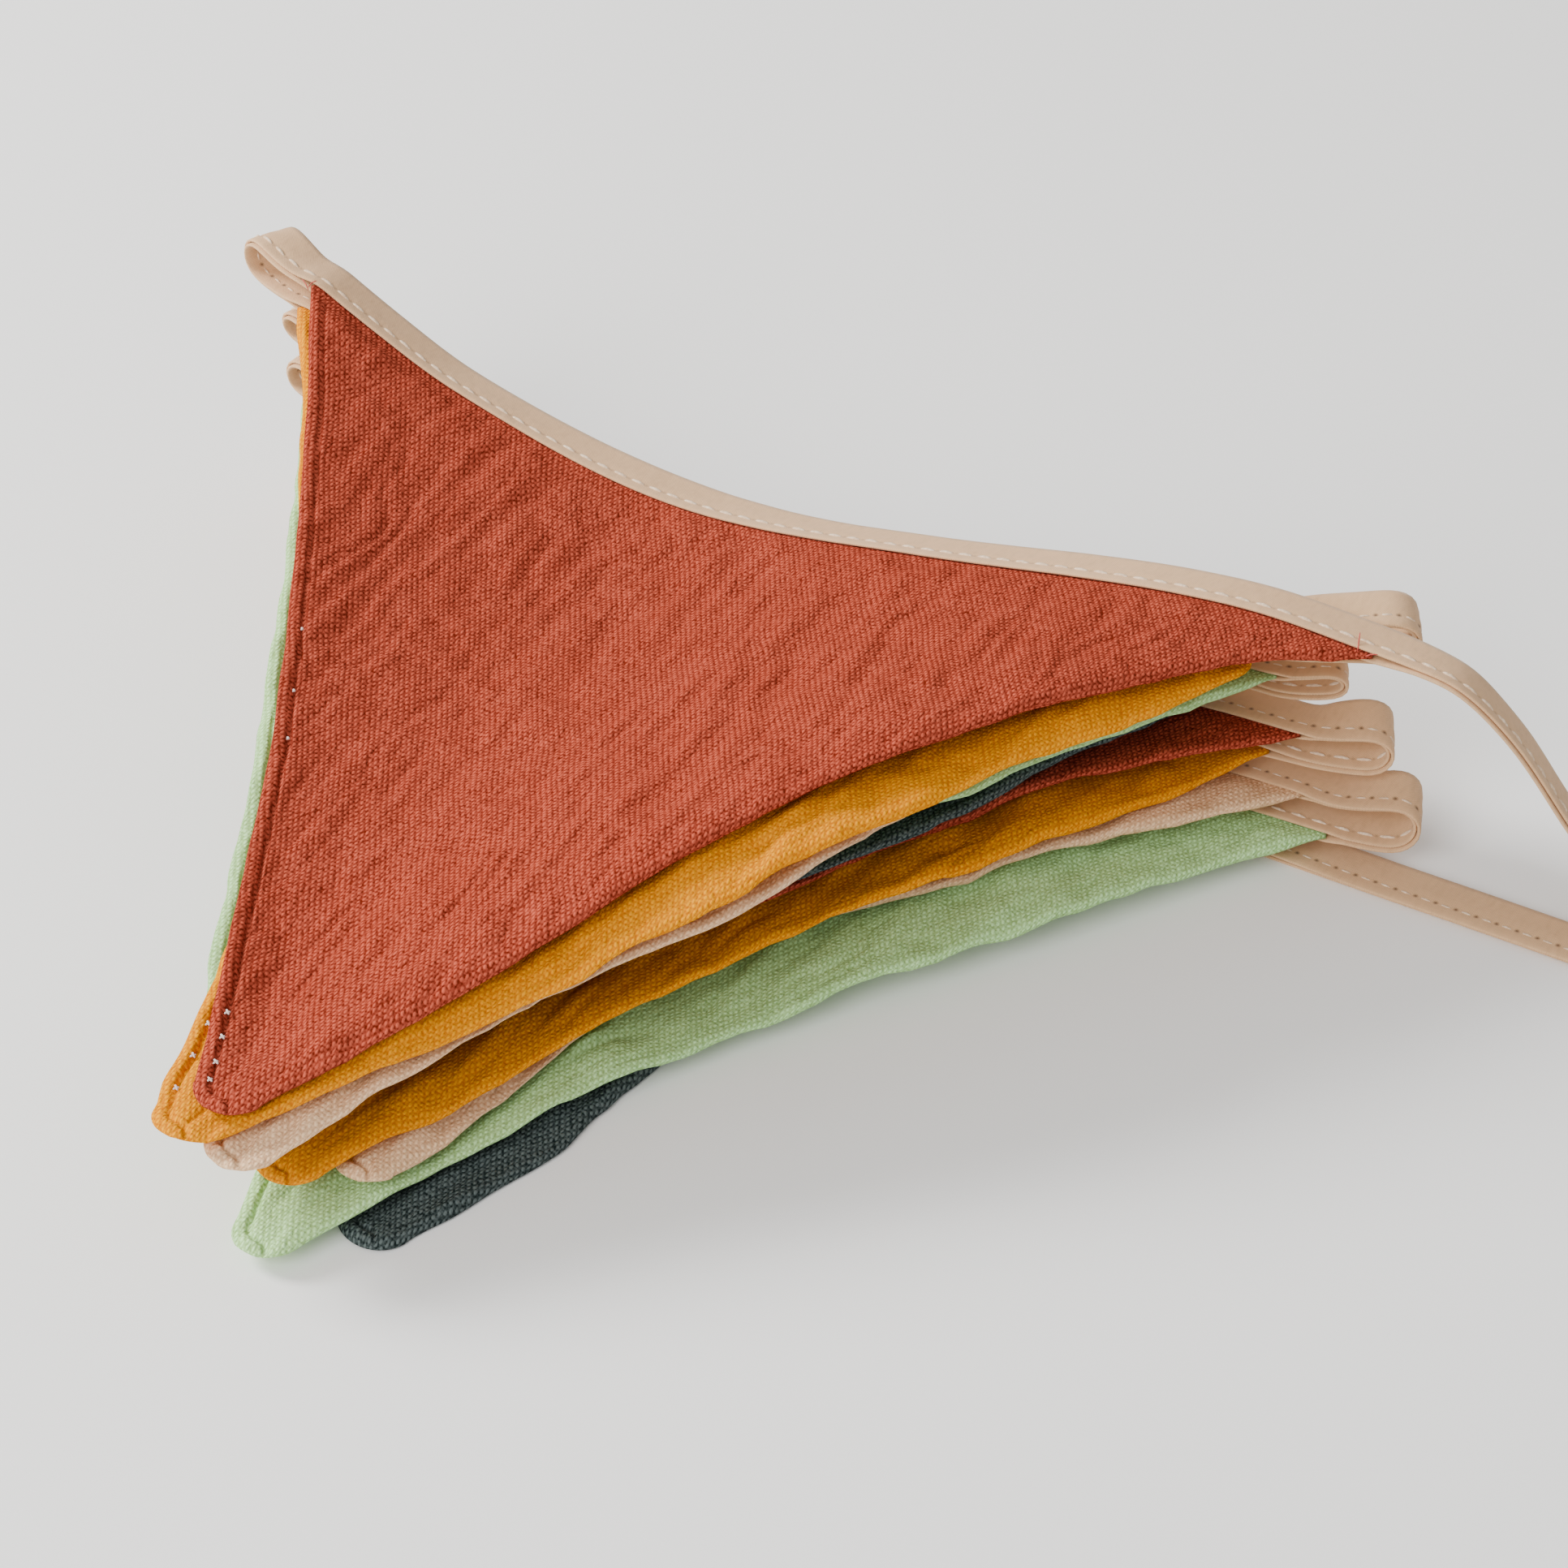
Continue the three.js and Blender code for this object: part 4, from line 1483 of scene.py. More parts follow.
@dataclass
class TapePath:
    """The line that the tape follows: its front edge, and the way its width runs from there.

    Attributes:
        pile: The pile that the tape runs through.
        seam_gap: Distance from a flag's edge to the tape's front edge.
        run_step: Longest step along a run.
        loop_step: Longest step along a loop's straight part.
        loop_steps_round: Steps round a loop's end.
        veer_length: How far a loop runs until it has turned all the way in plan.
        start_turn: Its turn in plan where it leaves the flags.
        evenness: Over what length the cloth evens its own bends.
        half_width: Half the tape's folded width.
        hold_reach: How far beyond its corners a flag still holds the tape open.
        lean_at: Places along a run, from 0 to 1.
        leans: How far the top run's back edge leans down there, in radians.
        top_tail: Stations of the upper free end from the pile outwards: X, Y, height and lean.
        bottom_tail: Stations of the lower free end.
    """

    pile: Pile
    seam_gap: float = 0.3
    run_step: float = 3.0
    loop_step: float = 3.0
    loop_steps_round: int = 6
    veer_length: float = 8.0
    start_turn: float = 0.12
    evenness: float = 2.4
    half_width: float = 4.0
    hold_reach: float = 2.5
    lean_at: tuple[float, ...] = (0, 0.15, 0.34, 0.52, 0.8, 1)
    leans: tuple[float, ...] = (0.12, 0.15, 0.03, 0.16, 0.06, 0.05)
    top_tail: tuple[tuple[float, float, float, float], ...] = (
        (90, 22.8, 39.4, 0.14),
        (96, 22.9, 38.5, 0.22),
        (101, 23.3, 35.4, 0.28),
        (106.5, 24, 30, 0.3),
        (111, 24.8, 23.6, 0.32),
        (115, 25.5, 18, 0.3),
        (124, 27, 8.5, 0.2),
        (132, 28.5, 3.1, 0.08),
        (141, 30, 0.7, 0),
        (148, 31.1, 0.7, 0),
        (156, 32.4, 0.7, 0),
    )
    bottom_tail: tuple[tuple[float, float, float, float], ...] = (
        (84, 19.4, 0.7, 0),
        (104, 19.2, 0.7, 0),
        (131, 18.8, 0.7, 0),
    )

    def __post_init__(self) -> None:
        """Starts an empty list of stations."""
        self.points: list[list[float]] = []
        self.ways: list[list[float]] = []
        self.sewn: list[float] = []

    @staticmethod
    def hold(layer: int, x: float) -> float:
        """How far a run is held open by its flag.

        Args:
            layer: The run's layer.
            x: Place on X.

        Returns:
            1 on the flag and 0 beyond its corners.
        """
        reach = TapePath.hold_reach
        from_left = ease((x - CUTS[layer].left[0] + reach) / reach)
        return float(from_left * ease((CUTS[layer].right[0] + reach - x) / reach))

    @staticmethod
    def lean(layer: int, x: Any, pile: Pile) -> Any:
        """How far the back edge of a run leans down.

        Args:
            layer: The run's layer.
            x: Places on X.
            pile: The pile.

        Returns:
            The lean in radians.
        """
        across = np.clip((x - pile.left) / (pile.right - pile.left), 0, 1)
        leans = smooth(TapePath.lean_at, TapePath.leans, across)
        return leans * (1 - layer / pile.last)

    def station(self, place: Sequence[float], turn: float, lean: float, sewn: float) -> None:
        """Adds a station.

        Args:
            place: The front edge's middle.
            turn: How far the width is turned in plan, in radians.
            lean: How far the back edge leans down, in radians.
            sewn: 1 where a flag is sewn in.
        """
        self.points.append([float(v) for v in place])
        flat = math.cos(lean)
        self.ways.append([math.sin(turn) * flat, math.cos(turn) * flat, -math.sin(lean)])
        self.sewn.append(sewn)

    def run_place(self, layer: int, x: float) -> tuple[float, float]:
        """Where a run's front edge is.

        Args:
            layer: The run's layer.
            x: Place on X.

        Returns:
            Its Y and its height.
        """
        cut = CUTS[layer]
        across = (x - cut.left[0]) / (cut.right[0] - cut.left[0])
        y = mix(cut.left[1], cut.right[1], across) - RUN_BOW * hump(min(max(across, 0), 1))
        return y + self.seam_gap, float(self.pile.layer(layer, x, y, self.pile.tape_rest))

    def add_run(self, layer: int, from_x: float, to_x: float) -> None:
        """Adds a run.

        Args:
            layer: The run's layer.
            from_x: X at its start.
            to_x: X at its end.
        """
        steps = math.ceil(abs(to_x - from_x) / self.run_step)
        for i in range(steps + 1):
            x = mix(from_x, to_x, i / steps)
            y, z = self.run_place(layer, x)
            self.station((x, y, z), 0, float(self.lean(layer, x, self.pile)), self.hold(layer, x))

    def loop_plan(self, loop: Loop) -> list[tuple[float, float, float]]:
        """A loop's path in plan, from the corners outwards and ever more backwards.

        Args:
            loop: The loop.

        Returns:
            Rows of outward distance, backward distance and turn.
        """
        steps = math.ceil(loop.reach / self.loop_step)
        step = loop.reach / steps
        plan = [(0.0, 0.0, 0.0)]
        for i in range(1, steps + 1):
            turned = mix(self.start_turn, loop.turn, min(i * step / self.veer_length, 1))
            x, y, _ = plan[-1]
            plan.append((x + step * math.cos(turned), y + step * math.sin(turned), turned))
        return plan

    def add_loop(self, layer: int, start_x: float) -> None:
        """Adds a loop from one run to the one below: out along the upper run, round, and back.

        Args:
            layer: The upper run's layer.
            start_x: X at which it leaves the flags.
        """
        loop = LOOPS[layer]
        outward = loop.side.value
        upper_y, upper_z = self.run_place(layer, start_x)
        lower_y, lower_z = self.run_place(layer + 1, start_x)
        radius = (upper_z - lower_z) / 2 + loop.swell
        centre = (upper_z + lower_z) / 2 + loop.lift
        plan = self.loop_plan(loop)
        steps = len(plan) - 1
        upper_lean = float(self.lean(layer, start_x, self.pile))
        lower_lean = float(self.lean(layer + 1, start_x, self.pile))

        def add(x: float, y: float, turn: float, height: float, share: float) -> None:
            """Adds a station of the loop.

            Args:
                x: Distance outwards.
                y: Distance backwards.
                turn: Turn in plan.
                height: Its height.
                share: Share of the way from the upper run to the lower one.
            """
            lean = mix(mix(upper_lean, lower_lean, share), loop.lean, turn / loop.turn)
            place = (start_x + outward * x, mix(upper_y, lower_y, share) + y, height)
            self.station(place, -outward * turn, lean, 0.0)

        for i in range(1, steps):
            add(*plan[i], mix(upper_z, centre + radius, i / steps), 0)
        end_x, end_y, turn = plan[steps]
        for i in range(self.loop_steps_round + 1):
            angle = math.pi * i / self.loop_steps_round
            out = radius * math.sin(angle)
            x, y = end_x + out * math.cos(turn), end_y + out * math.sin(turn)
            add(x, y, turn, centre + radius * math.cos(angle), i / self.loop_steps_round)
        for i in range(steps - 1, 0, -1):
            add(*plan[i], mix(lower_z, centre - radius, i / steps), 1)

    def add_tail(self, rows: Sequence[Sequence[float]], outwards: bool) -> None:
        """Adds a free end of the tape.

        Args:
            rows: Its stations from the pile outwards: X, Y, height and lean.
            outwards: Whether the tape's own direction is outwards there.
        """
        order = range(len(rows)) if outwards else range(len(rows) - 1, -1, -1)
        for i in order:
            before, after = rows[max(i - 1, 0)], rows[min(i + 1, len(rows) - 1)]
            turn = -math.atan2(after[1] - before[1], after[0] - before[0])
            self.station(rows[i][:3], turn, rows[i][3], 0.0)

    def loop_start(self, layer: int) -> float:
        """Where a loop leaves the flags.

        Args:
            layer: The upper run's layer.

        Returns:
            X of the outer one of the two corners that it joins.
        """
        upper, lower = CUTS[layer], CUTS[layer + 1]
        if LOOPS[layer].side is Side.LEFT:
            return min(upper.left[0], lower.left[0])
        return max(upper.right[0], lower.right[0])

    def lay(self) -> None:
        """Adds every station, from the free end of the top run to the free end of the bottom one."""
        self.add_tail(self.top_tail, outwards=False)
        from_x = CUTS[0].right[0]
        for layer in range(self.pile.last):
            to_x = self.loop_start(layer)
            self.add_run(layer, from_x, to_x)
            self.add_loop(layer, to_x)
            from_x = to_x
        self.add_run(self.pile.last, from_x, CUTS[-1].right[0])
        self.add_tail(self.bottom_tail, outwards=True)

    def evened(self, values: Array, step: float) -> Array:
        """Values along the tape with their sharp changes softened, as stiff cloth would.

        Args:
            values: One row per step.
            step: Length of a step.

        Returns:
            The evened rows.
        """
        reach = math.ceil(3 * self.evenness / step)
        weights = bell(np.arange(-reach, reach + 1) * step, self.evenness)
        weights /= weights.sum()
        padded = np.pad(values, ((reach, reach), (0, 0)), mode="reflect", reflect_type="odd")
        columns = [np.convolve(column, weights, mode="valid") for column in padded.T]
        return np.stack(columns, -1)

    def resampled(self, step: float) -> tuple[Array, Array, Array, Array]:
        """The path as one smooth curve with even steps.

        Args:
            step: Length of a step.

        Returns:
            Length so far, points, width ways and how far each is sewn.
        """
        points = np.array(self.points)
        ways = np.array(self.ways)
        mid = points + ways * self.half_width
        chords = np.concatenate([[0], np.cumsum(np.linalg.norm(np.diff(mid, axis=0), axis=1))])
        at = np.linspace(0, chords[-1], int(chords[-1] / step) + 1)
        line = np.stack([smooth(chords, points[:, k], at) for k in range(3)], -1)
        width = np.stack([smooth(chords, ways[:, k], at) for k in range(3)], -1)
        line, width = self.evened(line, step), self.evened(width, step)
        width /= np.linalg.norm(width, axis=1, keepdims=True)
        middle = line + width * self.half_width
        length = np.concatenate([[0], np.cumsum(np.linalg.norm(np.diff(middle, axis=0), axis=1))])
        return length, line, width, np.clip(np.interp(at, chords, self.sewn), 0, 1)


@dataclass(frozen=True)
class StitchForm:
    """How a stitch lies on the tape.

    Attributes:
        length: Its length.
        girth: Its girth, as a share of the thread's.
        arch: How far its ends dip.
        above: How far it stands out from the cloth.
    """

    length: float
    girth: float
    arch: float
    above: float


@dataclass
class Tape:
    """The folded bias tape: two leaves that share a fold at the back, topstitched near their front edges.

    Attributes:
        pile: The pile that the tape runs through.
        width: Width from the front edge to the fold.
        step: Length of the mesh's steps.
        leaf: Thickness of a leaf at its turned hem.
        hem_width: How far the turned hem reaches back.
        wider: How far the under leaf stands out in front of the other.
        stitch: Length from one stitch to the next.
        inset: The stitches' distance from the front edge.
        free_gap: Distance between the leaves where no flag is sewn in.
        sewn_gap: The same distance at the front edge where one is.
        single: Thickness of a leaf behind its hem, as a share.
        hem_step: Over what width the hem ends.
        front_round: Radius of the front edges.
        pull: How far the stitches pull the cloth in.
        pull_width: Half the width over which they do.
        puff: How far the cloth rises between two stitches.
        puff_width: Half the width over which it does.
        thread_radius: Radius of the thread.
        face_stitch: How the stitches lie on the upper leaf.
        back_stitch: How they lie on the under leaf.
        slant: How far the stitches slant.
        slant_change: How far that changes.
        seat_change: How far their line wanders.
        end_clear: How far from the tape's end they stop.
        drift: How far the tape's free parts wander up and down.
        slow_drift: Length of the slow part of that.
        quick_drift: Length of the quick part.
        sewn_calm: How much less the sewn parts wander, as a share.
        lying: How far above the surface the tape counts as lying on it.
        across: Distances from the front edge at which a leaf has points.
        fold_steps: Points round the fold.
        bake_rows: Rows in which the tape is laid out for baked colours.
        seed: What its unevenness is drawn from.
    """

    pile: Pile
    width: float = 8.0
    step: float = 1.1
    leaf: float = 0.52
    hem_width: float = 4.4
    wider: float = 0.45
    stitch: float = 3.2
    inset: float = 1.9
    free_gap: float = 0.1
    sewn_gap: float = 0.8
    single: float = 0.72
    hem_step: float = 0.5
    front_round: float = 0.32
    pull: float = 0.12
    pull_width: float = 0.45
    puff: float = 0.05
    puff_width: float = 1.4
    thread_radius: float = 0.25
    face_stitch: StitchForm = StitchForm(length=2.55, girth=1.0, arch=0.2, above=0.09)
    back_stitch: StitchForm = StitchForm(length=1.7, girth=0.85, arch=0.12, above=-0.04)
    slant: float = 0.06
    slant_change: float = 0.05
    seat_change: float = 0.08
    end_clear: float = 2.0
    drift: float = 0.22
    slow_drift: float = 17.0
    quick_drift: float = 5.5
    sewn_calm: float = 0.75
    lying: float = 1.2
    across: tuple[float, ...] = (0.05, 0.2, 0.6, 1.3, 1.9, 2.5, 3.9, 5.4, 6.9)
    fold_steps: int = 3
    bake_rows: int = 28
    seed: int = 7

    def __post_init__(self) -> None:
        """Lays the path and reads its frame at each step."""
        path = TapePath(self.pile)
        path.lay()
        self.length, self.line, self.way, self.sewn = path.resampled(self.step)
        self.noise = Unevenness(self.seed)
        tangent = np.gradient(self.line + self.way * self.width / 2, axis=0)
        tangent /= np.linalg.norm(tangent, axis=1, keepdims=True)
        normal = -np.cross(tangent, self.way)
        self.normal = normal / np.linalg.norm(normal, axis=1, keepdims=True)
        self.tangent = tangent
        lying = bell(self.line[:, 2] - self.pile.tape_rest, self.lying)
        slow = self.noise.at(self.length / self.slow_drift, 2.5)
        drift = slow + 0.5 * self.noise.at(self.length / self.quick_drift, 8.5)
        free = (1 - lying) * (1 - self.sewn_calm * self.sewn)
        self.line = self.line + self.normal * (self.drift * drift * free)[:, None]

    def leaf_shape(self, w: Array, front: float) -> tuple[Array, Array]:
        """Thickness and inner gap of a leaf at places across it.

        Args:
            w: Distances from the tape's front edge.
            front: Where this leaf's own front edge is.

        Returns:
            The thickness and the gap's half height, each one row per step along the tape.
        """
        past_hem = ease((w - self.hem_width) / self.hem_step + 0.5)
        hem = mix(self.leaf, self.leaf * self.single, past_hem)
        from_front = np.clip((w - front) / self.front_round, 0, 1)
        round_front = np.sqrt(np.maximum(1 - (1 - from_front) ** 2, 0))
        pull = self.pull * bell(w - self.inset, self.pull_width)
        opened = mix(self.sewn_gap, self.free_gap, ease(w / (self.width - 1)))
        gap = mix(self.free_gap, opened[None, :], self.sewn[:, None])
        between = 0.5 - 0.5 * np.cos(2 * math.pi * self.length / self.stitch)
        puff = self.puff * between[:, None] * bell(w - self.inset, self.puff_width)[None, :]
        thick = (hem - pull)[None, :] * round_front[None, :] * np.ones_like(gap) + puff
        return thick, gap / 2 + (1 - round_front[None, :]) * hem[None, :] / 2

    def section(self) -> tuple[Array, Array, Array]:
        """The closed section of the tape at each step.

        Returns:
            Distances across, heights, and the distance over the cloth from the front edge of the first leaf.
        """
        w_a = np.array(self.across)
        thick_a, gap_a = self.leaf_shape(w_a, 0.0)
        w_b = np.array([self.across[0] - self.wider, self.across[1] - self.wider, *self.across[2:]])
        thick_b, gap_b = self.leaf_shape(w_b, -self.wider)
        steps = len(self.length)
        fold_out = self.leaf * self.single + self.free_gap / 2
        fold_in = self.free_gap / 2
        angles = np.linspace(0, math.pi, self.fold_steps + 2)[1:-1]
        arc = self.width - fold_out
        ones = np.ones((steps, 1))
        outer_w = np.hstack([ones * w_a, ones * (arc + fold_out * np.sin(angles)), ones * w_b[::-1]])
        inner_w = np.hstack([ones * w_a, ones * (arc + fold_in * np.sin(angles)), ones * w_b[::-1]])
        outer_h = np.hstack([gap_a + thick_a, ones * fold_out * np.cos(angles), -(gap_b + thick_b)[:, ::-1]])
        inner_h = np.hstack([gap_a, ones * fold_in * np.cos(angles), -gap_b[:, ::-1]])
        tip_a = gap_a[:, :1] + thick_a[:, :1] / 2
        tip_b = -(gap_b[:, :1] + thick_b[:, :1] / 2)
        w = np.hstack([ones * 0.0, outer_w, ones * -self.wider, inner_w[:, ::-1]])
        h = np.hstack([tip_a, outer_h, tip_b, inner_h[:, ::-1]])
        whole = 2 * self.width
        turn = np.sin(angles / 2) ** 2
        over_fold = ones * (arc + turn * (whole - 2 * arc))
        over_leaves = np.hstack([ones * w_a, over_fold, whole - ones * w_b[::-1]])
        over = np.hstack([ones * 0.0, over_leaves, ones * (whole + self.wider), over_leaves[:, ::-1]])
        return w, h, over

    def build(self) -> bpy.types.Object:
        """Builds the tape's mesh.

        Returns:
            The tape.
        """
        w, h, over = self.section()
        steps, around = w.shape
        sideways = self.way[:, None, :] * w[..., None]
        upwards = self.normal[:, None, :] * h[..., None]
        points = (self.line[:, None, :] + sideways + upwards).reshape(-1, 3)
        points[:, 2] = np.maximum(points[:, 2], 0)
        index = np.arange(steps * around).reshape(steps, around)
        following = np.roll(index, -1, axis=1)
        sides = np.stack([index[:-1], following[:-1], following[1:], index[1:]], -1).reshape(-1, 4)
        faces = sides.tolist()
        half = (around - 2) // 2
        for row, forward in ((index[0], False), (index[-1], True)):
            outer = row[1:half + 1]
            inner = row[half + 2:][::-1]
            caps = [[row[0], outer[0], inner[0]]]
            caps += [[outer[i], outer[i + 1], inner[i + 1], inner[i]] for i in range(half - 1)]
            caps.append([outer[-1], row[half + 1], inner[-1]])
            faces += [[int(v) for v in (cap if forward else cap[::-1])] for cap in caps]
        ribbon = np.stack([np.broadcast_to(self.length[:, None], w.shape), over], -1).reshape(-1, 2) * MM
        corners = np.concatenate([np.array(face) for face in faces])
        uvs = {"Ribbon": ribbon[corners], "OFBake": self.bake_uv(sides, corners, steps, around)}
        piece = build_mesh("folded_tape", points, faces, uvs, TAPE_FINISH.material("bias_tape"))
        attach(piece, BODY)
        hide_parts("tape")
        return piece

    def bake_uv(self, sides: Array, corners: Array, steps: int, around: int) -> Array:
        """Lays the long ribbon out in rows, for the colours that are baked on it.

        Args:
            sides: The faces along the tape.
            corners: Vertex numbers of all face corners.
            steps: How many sections the tape has.
            around: How many points a section has.

        Returns:
            One place per face corner.
        """
        per_row = math.ceil((steps - 1) / self.bake_rows)
        row_of_face = np.arange(len(sides)) // around // per_row
        along = (sides // around - (row_of_face * per_row)[:, None]) / (per_row + 1)
        place = sides % around
        wraps = (np.arange(len(sides)) % around) == around - 1
        place = place + np.where(wraps[:, None] & (place == 0), around, 0)
        up = (row_of_face[:, None] + 0.05 + 0.9 * place / (around + 1)) / (self.bake_rows + 1)
        main = np.stack([along, up], -1).reshape(-1, 2)
        caps = len(corners) - len(main)
        last_row = self.bake_rows / (self.bake_rows + 1)
        spare = np.stack([np.linspace(0.02, 0.2, caps), last_row + 0.01 * (np.arange(caps) % 3)], -1)
        return np.concatenate([main, spare])

    def read(self, rows: Array, at: float) -> Array:
        """Rows along the tape, read at one length.

        Args:
            rows: One row per step.
            at: The length.

        Returns:
            The row there.
        """
        return np.array([np.interp(at, self.length, rows[:, k]) for k in range(3)])

    def stitches(self) -> bpy.types.Object:
        """Builds the topstitching: long stitches on one face, short sunk ones on the other.

        Returns:
            The stitches as one piece.
        """
        sewing = Sewing()
        leaf_top = self.leaf - 0.1
        for i in range(int(self.length[-1] / self.stitch)):
            at = (i + 1.0) * self.stitch
            if at > self.length[-1] - self.end_clear:
                break
            ways = [self.read(rows, at) for rows in (self.tangent, self.normal, self.way)]
            tangent, normal, way = (v / np.linalg.norm(v) for v in ways)
            sewn = float(np.interp(at, self.length, self.sewn))
            gap = mix(self.free_gap, self.sewn_gap * 0.8, sewn) / 2
            slant = self.slant + self.slant_change * float(self.noise.at(i * 0.37, 15.5))
            inset = self.inset + self.seat_change * float(self.noise.at(i * 0.61, 17.5))
            seat = self.read(self.line, at) + way * inset
            for face, form in ((1, self.face_stitch), (-1, self.back_stitch)):
                middle = seat + face * normal * (gap + leaf_top + form.above)
                run = tangent + face * way * slant
                radius = self.thread_radius * form.girth
                sewing.stitch(middle, run, face * normal, form.length, radius, form.arch)
        piece = sewing.build("tape_stitching", STITCH_FINISH.material("topstitch_thread"))
        return piece

    def declare(self, tape: bpy.types.Object, stitching: bpy.types.Object) -> None:
        """Does nothing with the tape or its stitches.

        Args:
            tape: The tape's object; not used.
            stitching: The stitches' object; not used.
        """


class Sewing:
    """Short arched lengths of thread, gathered into one mesh.

    Attributes:
        sides: Sides of the thread's section.
        shares: Places of its sections, from -1 to 1.
        girths: The radius at each, as a share.
    """

    sides = 6
    shares = (-1.0, -0.75, 0.0, 0.75, 1.0)
    girths = (0.4, 0.95, 1.05, 0.95, 0.4)

    def __init__(self) -> None:
        """Starts with no thread."""
        self.points: list[Array] = []
        self.faces: list[list[int]] = []

    def stitch(
        self, middle: Array, way: Array, up: Array, length: float, radius: float, arch: float
    ) -> None:
        """Adds a stitch.

        Args:
            middle: Its highest point's place on the cloth.
            way: The way it runs.
            up: Away from the cloth.
            length: Its length.
            radius: The thread's radius.
            arch: How far its ends dip.
        """
        way = way / np.linalg.norm(way)
        side = np.cross(up, way)
        side = side / np.linalg.norm(side)
        up = np.cross(way, side)
        start = sum(len(ring) for ring in self.points)
        angles = np.arange(self.sides) * 2 * math.pi / self.sides
        for share, girth in zip(self.shares, self.girths):
            centre = middle + way * share * length / 2 - up * arch * share * share
            ring = np.cos(angles)[:, None] * side + np.sin(angles)[:, None] * up
            self.points.append(centre + ring * radius * girth)
        for k in range(len(self.shares) - 1):
            for i in range(self.sides):
                j = (i + 1) % self.sides
                a, b = start + k * self.sides, start + (k + 1) * self.sides
                self.faces.append([a + j, a + i, b + i, b + j])
        last = start + (len(self.shares) - 1) * self.sides
        self.faces.append([start + i for i in range(self.sides)])
        self.faces.append([last + i for i in reversed(range(self.sides))])

    def build(self, name: str, material: bpy.types.Material) -> bpy.types.Object:
        """Makes the thread an object that rides with the pile.

        Args:
            name: Its name.
            material: Its material.

        Returns:
            The object.
        """
        piece = build_mesh(name, np.concatenate(self.points), self.faces, {}, material)
        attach(piece, BODY)
        return piece


@dataclass
class SeamSpecks:
    """The pale thread that shows here and there in the flags' side seams.

    Attributes:
        flags: The pile's flags.
        places: Layers, and shares of the way down at which thread shows.
        size: Length of one short stitch.
        small: Share of that away from the tip.
        tip_from: Share of the way down at which the tip begins.
        above: How far it stands above a flag's middle, as a share of the puff.
        first_radius: Radius of the one thread of a speck.
        second_radius: Radius of the thread that crosses it.
        arch: How far their ends dip.
    """

    flags: list[Flag]
    places: tuple[tuple[int, float], ...] = (
        (0, 0.42), (0, 0.5), (0, 0.56), (0, 0.9), (0, 0.928), (0, 0.957), (0, 0.982),
        (1, 0.875), (1, 0.912), (1, 0.955), (6, 0.94), (6, 0.972),
    )
    size: float = 1.15
    small: float = 0.5
    tip_from: float = 0.8
    above: float = 0.55
    first_radius: float = 0.17
    second_radius: float = 0.15
    arch: float = 0.1

    def build(self) -> bpy.types.Object:
        """Builds the specks.

        Returns:
            The specks as one piece.
        """
        sewing = Sewing()
        up = np.array([0.0, 0.0, 1.0])
        for k, (layer, down) in enumerate(self.places):
            flag = self.flags[layer]
            point, way = flag.groove_point(down, flag.puff * self.above)
            side = np.cross(up, way)
            length = self.size * (1.0 if down > self.tip_from else self.small)
            turn = 0.5 + 0.2 * (k % 3)
            sewing.stitch(point, way + side * turn, up, length, self.first_radius, self.arch)
            crossing = point + way * self.second_radius
            sewing.stitch(crossing, side - way * turn, up, length * 0.8, self.second_radius, self.arch)
        piece = sewing.build("seam_thread", SPECK_FINISH.material("seam_thread"))
        return piece


@dataclass
class LooseThreads:
    """Ends of sewing thread that stick out at the top flag's corners.

    Attributes:
        pile: The pile that they grow from.
        rows: For each end, its X and Y, its height above the flag, its way in plan and its length.
        rise: How steeply the ends stand up.
        radius: Radius of the thread.
        arch: How far their ends dip.
    """

    pile: Pile
    rows: tuple[tuple[float, float, float, float, float], ...] = (
        (80.8, 23.6, 1.3, 1.9, 3.4),
        (83.2, 22.4, 0.7, 0.4, 2.0),
        (-98.4, 21.6, 0.9, 2.6, 2.4),
        (-97.6, 22.2, 1.0, 1.2, 1.8),
        (-17.5, -121.8, 0.5, -2.1, 1.7),
    )
    rise: float = 0.35
    radius: float = 0.09
    arch: float = 0.35

    def build(self) -> bpy.types.Object:
        """Builds the ends.

        Returns:
            The ends as one piece.
        """
        sewing = Sewing()
        up = np.array([0.0, 0.0, 1.0])
        for x, y, above, turn, length in self.rows:
            base = float(self.pile.layer(0, x, y, self.pile.flag_rest)) + above
            way = np.array([math.cos(turn), math.sin(turn), self.rise])
            sewing.stitch(np.array([x, y, base]), way, up, length, self.radius, self.arch)
        piece = sewing.build("loose_threads", LOOSE_FINISH.material("loose_thread"))
        return piece


@dataclass(frozen=True)
class Lamp:
    """A square soft light that looks at the pile.

    Attributes:
        name: Its name.
        place: Where it hangs, in metres.
        size: Length of its side, in metres.
        watts: Its power.
        colour: Its colour.
    """

    name: str
    place: tuple[float, float, float]
    size: float
    watts: float
    colour: tuple[float, float, float]


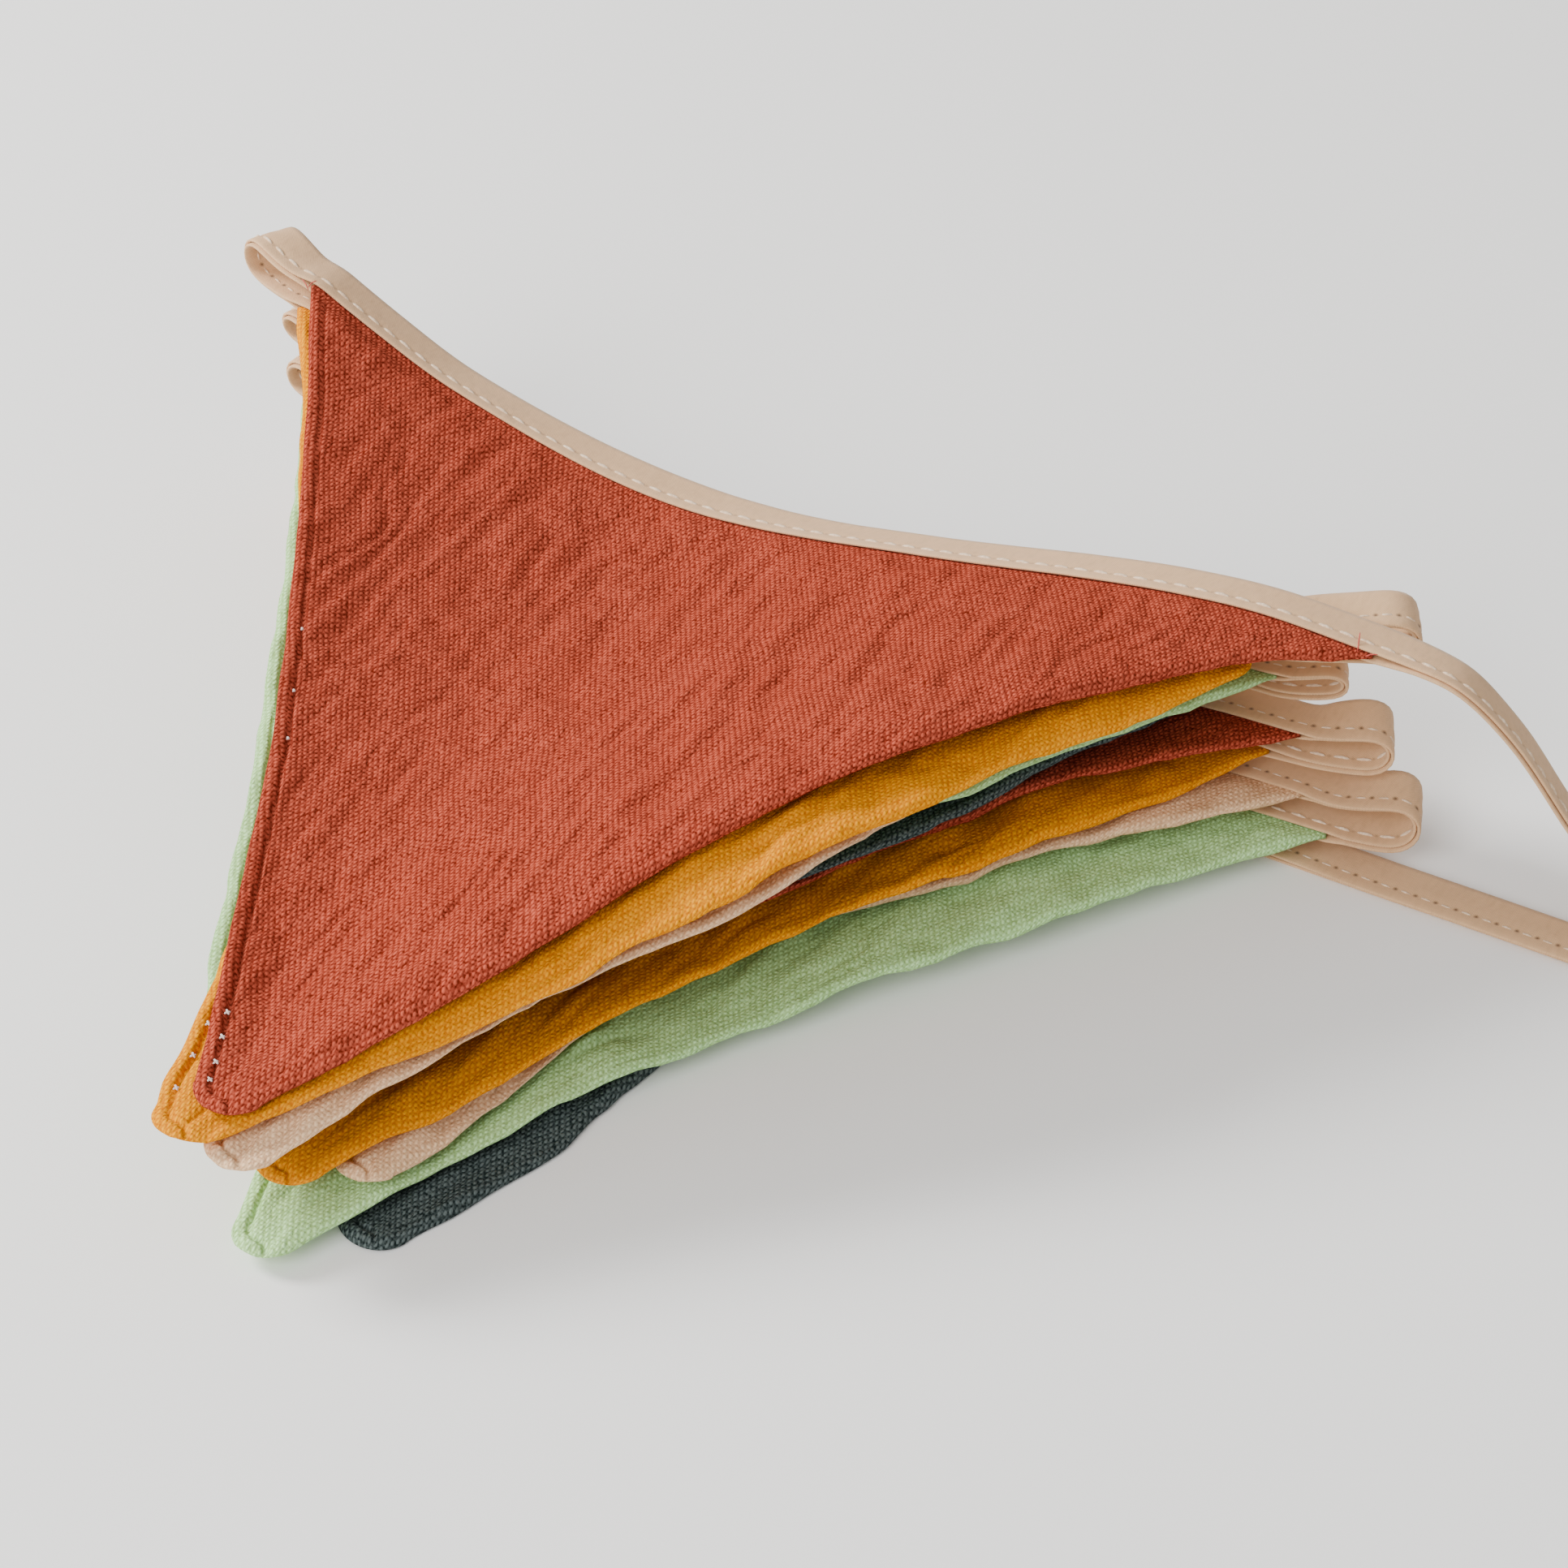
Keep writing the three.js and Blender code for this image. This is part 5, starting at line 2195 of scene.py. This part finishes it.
@dataclass(frozen=True)
class Studio:
    """A pale floor, soft light and the photograph's camera.

    Attributes:
        azimuth: The camera's turn round the pile, in degrees.
        elevation: Its height above the horizon, in degrees.
        distance: Its distance from the point that it looks at, in metres.
        sensor: Width of its sensor, in millimetres.
        lens: Its focal length in millimetres, from the one in pixels of the photo's width.
        floor_half: Half the floor's width, in metres.
        lamps: A window on the left and a broad soft light in front.
        room_colour: Colour of the pale room round them.
        room_strength: Its brightness.
    """

    azimuth: float = 29.6
    elevation: float = 38.0
    distance: float = 0.7
    sensor: float = 36.0
    lens: float = 5703 / 1932 * 36
    floor_half: float = 3.0
    lamps: tuple[Lamp, ...] = (
        Lamp("window", (-1.25, -0.12, 0.82), 0.5, 34, (1.0, 0.985, 0.96)),
        Lamp("front", (-0.15, -1.15, 0.8), 0.9, 18, (1.0, 0.99, 0.975)),
    )
    room_colour: Rgba = (1.0, 0.99, 0.975, 1)
    room_strength: float = 0.65

    def floor(self) -> bpy.types.Object:
        """Makes the floor.

        Returns:
            The floor.
        """
        h = self.floor_half
        mesh = bpy.data.meshes.new("floor")
        mesh.from_pydata([(-h, -h, 0), (h, -h, 0), (h, h, 0), (-h, h, 0)], [], [(0, 1, 2, 3)])
        mesh.materials.append(FLOOR_FINISH.material("pale_paper"))
        floor = bpy.data.objects.new("floor", mesh)
        bpy.context.scene.collection.objects.link(floor)
        return floor

    @staticmethod
    def hang(lamp: Lamp) -> None:
        """Hangs a light.

        Args:
            lamp: The light.
        """
        data = bpy.data.lights.new(lamp.name, "AREA")
        data.size = lamp.size
        data.energy = lamp.watts
        data.color = lamp.colour
        light = bpy.data.objects.new(lamp.name, data)
        light.location = lamp.place
        light.rotation_mode = "QUATERNION"
        light.rotation_quaternion = (-Vector(lamp.place)).to_track_quat("-Z", "Y")
        bpy.context.scene.collection.objects.link(light)

    def lights(self) -> None:
        """Hangs the lights and makes the room."""
        for lamp in self.lamps:
            self.hang(lamp)
        world = bpy.data.worlds.new("room")
        world.use_nodes = True
        background = world.node_tree.nodes["Background"]
        background.inputs["Color"].default_value = self.room_colour
        background.inputs["Strength"].default_value = self.room_strength
        bpy.context.scene.world = world

    def camera(self) -> bpy.types.Object:
        """Sets the camera where the photograph's was.

        Returns:
            The camera.
        """
        a, e = math.radians(self.azimuth), math.radians(self.elevation)
        back = Vector((math.sin(a) * math.cos(e), -math.cos(a) * math.cos(e), math.sin(e)))
        data = bpy.data.cameras.new("camera")
        data.sensor_width = self.sensor
        data.lens = self.lens
        data.clip_start = 0.01
        camera = bpy.data.objects.new("camera", data)
        camera.location = Vector(shift_of_pile()) * MM + back * self.distance
        camera.rotation_mode = "QUATERNION"
        camera.rotation_quaternion = (-back).to_track_quat("-Z", "Y")
        bpy.context.scene.collection.objects.link(camera)
        bpy.context.scene.camera = camera
        return camera


_SHIFT: list[Array] = []


def shift_of_pile() -> Array:
    """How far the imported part's frame is moved from the pile's own, in millimetres.

    Returns:
        The shift, from the far end of the tape's upper tail, whose place is known in both.
    """
    if not _SHIFT:
        high = np.array(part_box("tape")[1]) / MM
        rows = TapePath.top_tail
        (x1, y1), (x0, y0) = rows[-1][:2], rows[-2][:2]
        turn = -math.atan2(y1 - y0, x1 - x0)
        _SHIFT.append(np.array([high[0] - x1, high[1] - y1 - Tape.width * math.cos(turn), 0.0]))
    return _SHIFT[0]


def main() -> None:
    """Builds the bunting and its studio, and logs the pieces' face counts and sizes."""
    logging.basicConfig(level=logging.INFO, format="%(name)s: %(message)s")
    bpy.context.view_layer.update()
    studio = Studio()
    studio.camera()
    studio.floor()
    studio.lights()
    LOG.info("studio ready, pile shifted by %s mm", np.round(shift_of_pile(), 3).tolist())
    pile = Pile()
    flags = []
    for layer, cut in enumerate(CUTS):
        flag = Flag(layer, cut, pile, LOWER_DETAIL if layer else TOP_DETAIL)
        piece = flag.build()
        flags.append(flag)
        area = flag.outline.area() / 100
        LOG.info("%s: %d faces, %.0f cm2 flat", piece.name, len(piece.data.polygons), area)
    tape = Tape(pile)
    ribbon = tape.build()
    stitching = tape.stitches()
    tape.declare(ribbon, stitching)
    LOG.info("%s: %d faces, %.2f m long", ribbon.name, len(ribbon.data.polygons), tape.length[-1] * MM)
    specks = SeamSpecks(flags).build()
    LooseThreads(pile).build()
    LOG.info("%s and %s: %d and %d faces", stitching.name, specks.name,
             len(stitching.data.polygons), len(specks.data.polygons))
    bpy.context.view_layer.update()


if __name__ == "__main__":
    main()
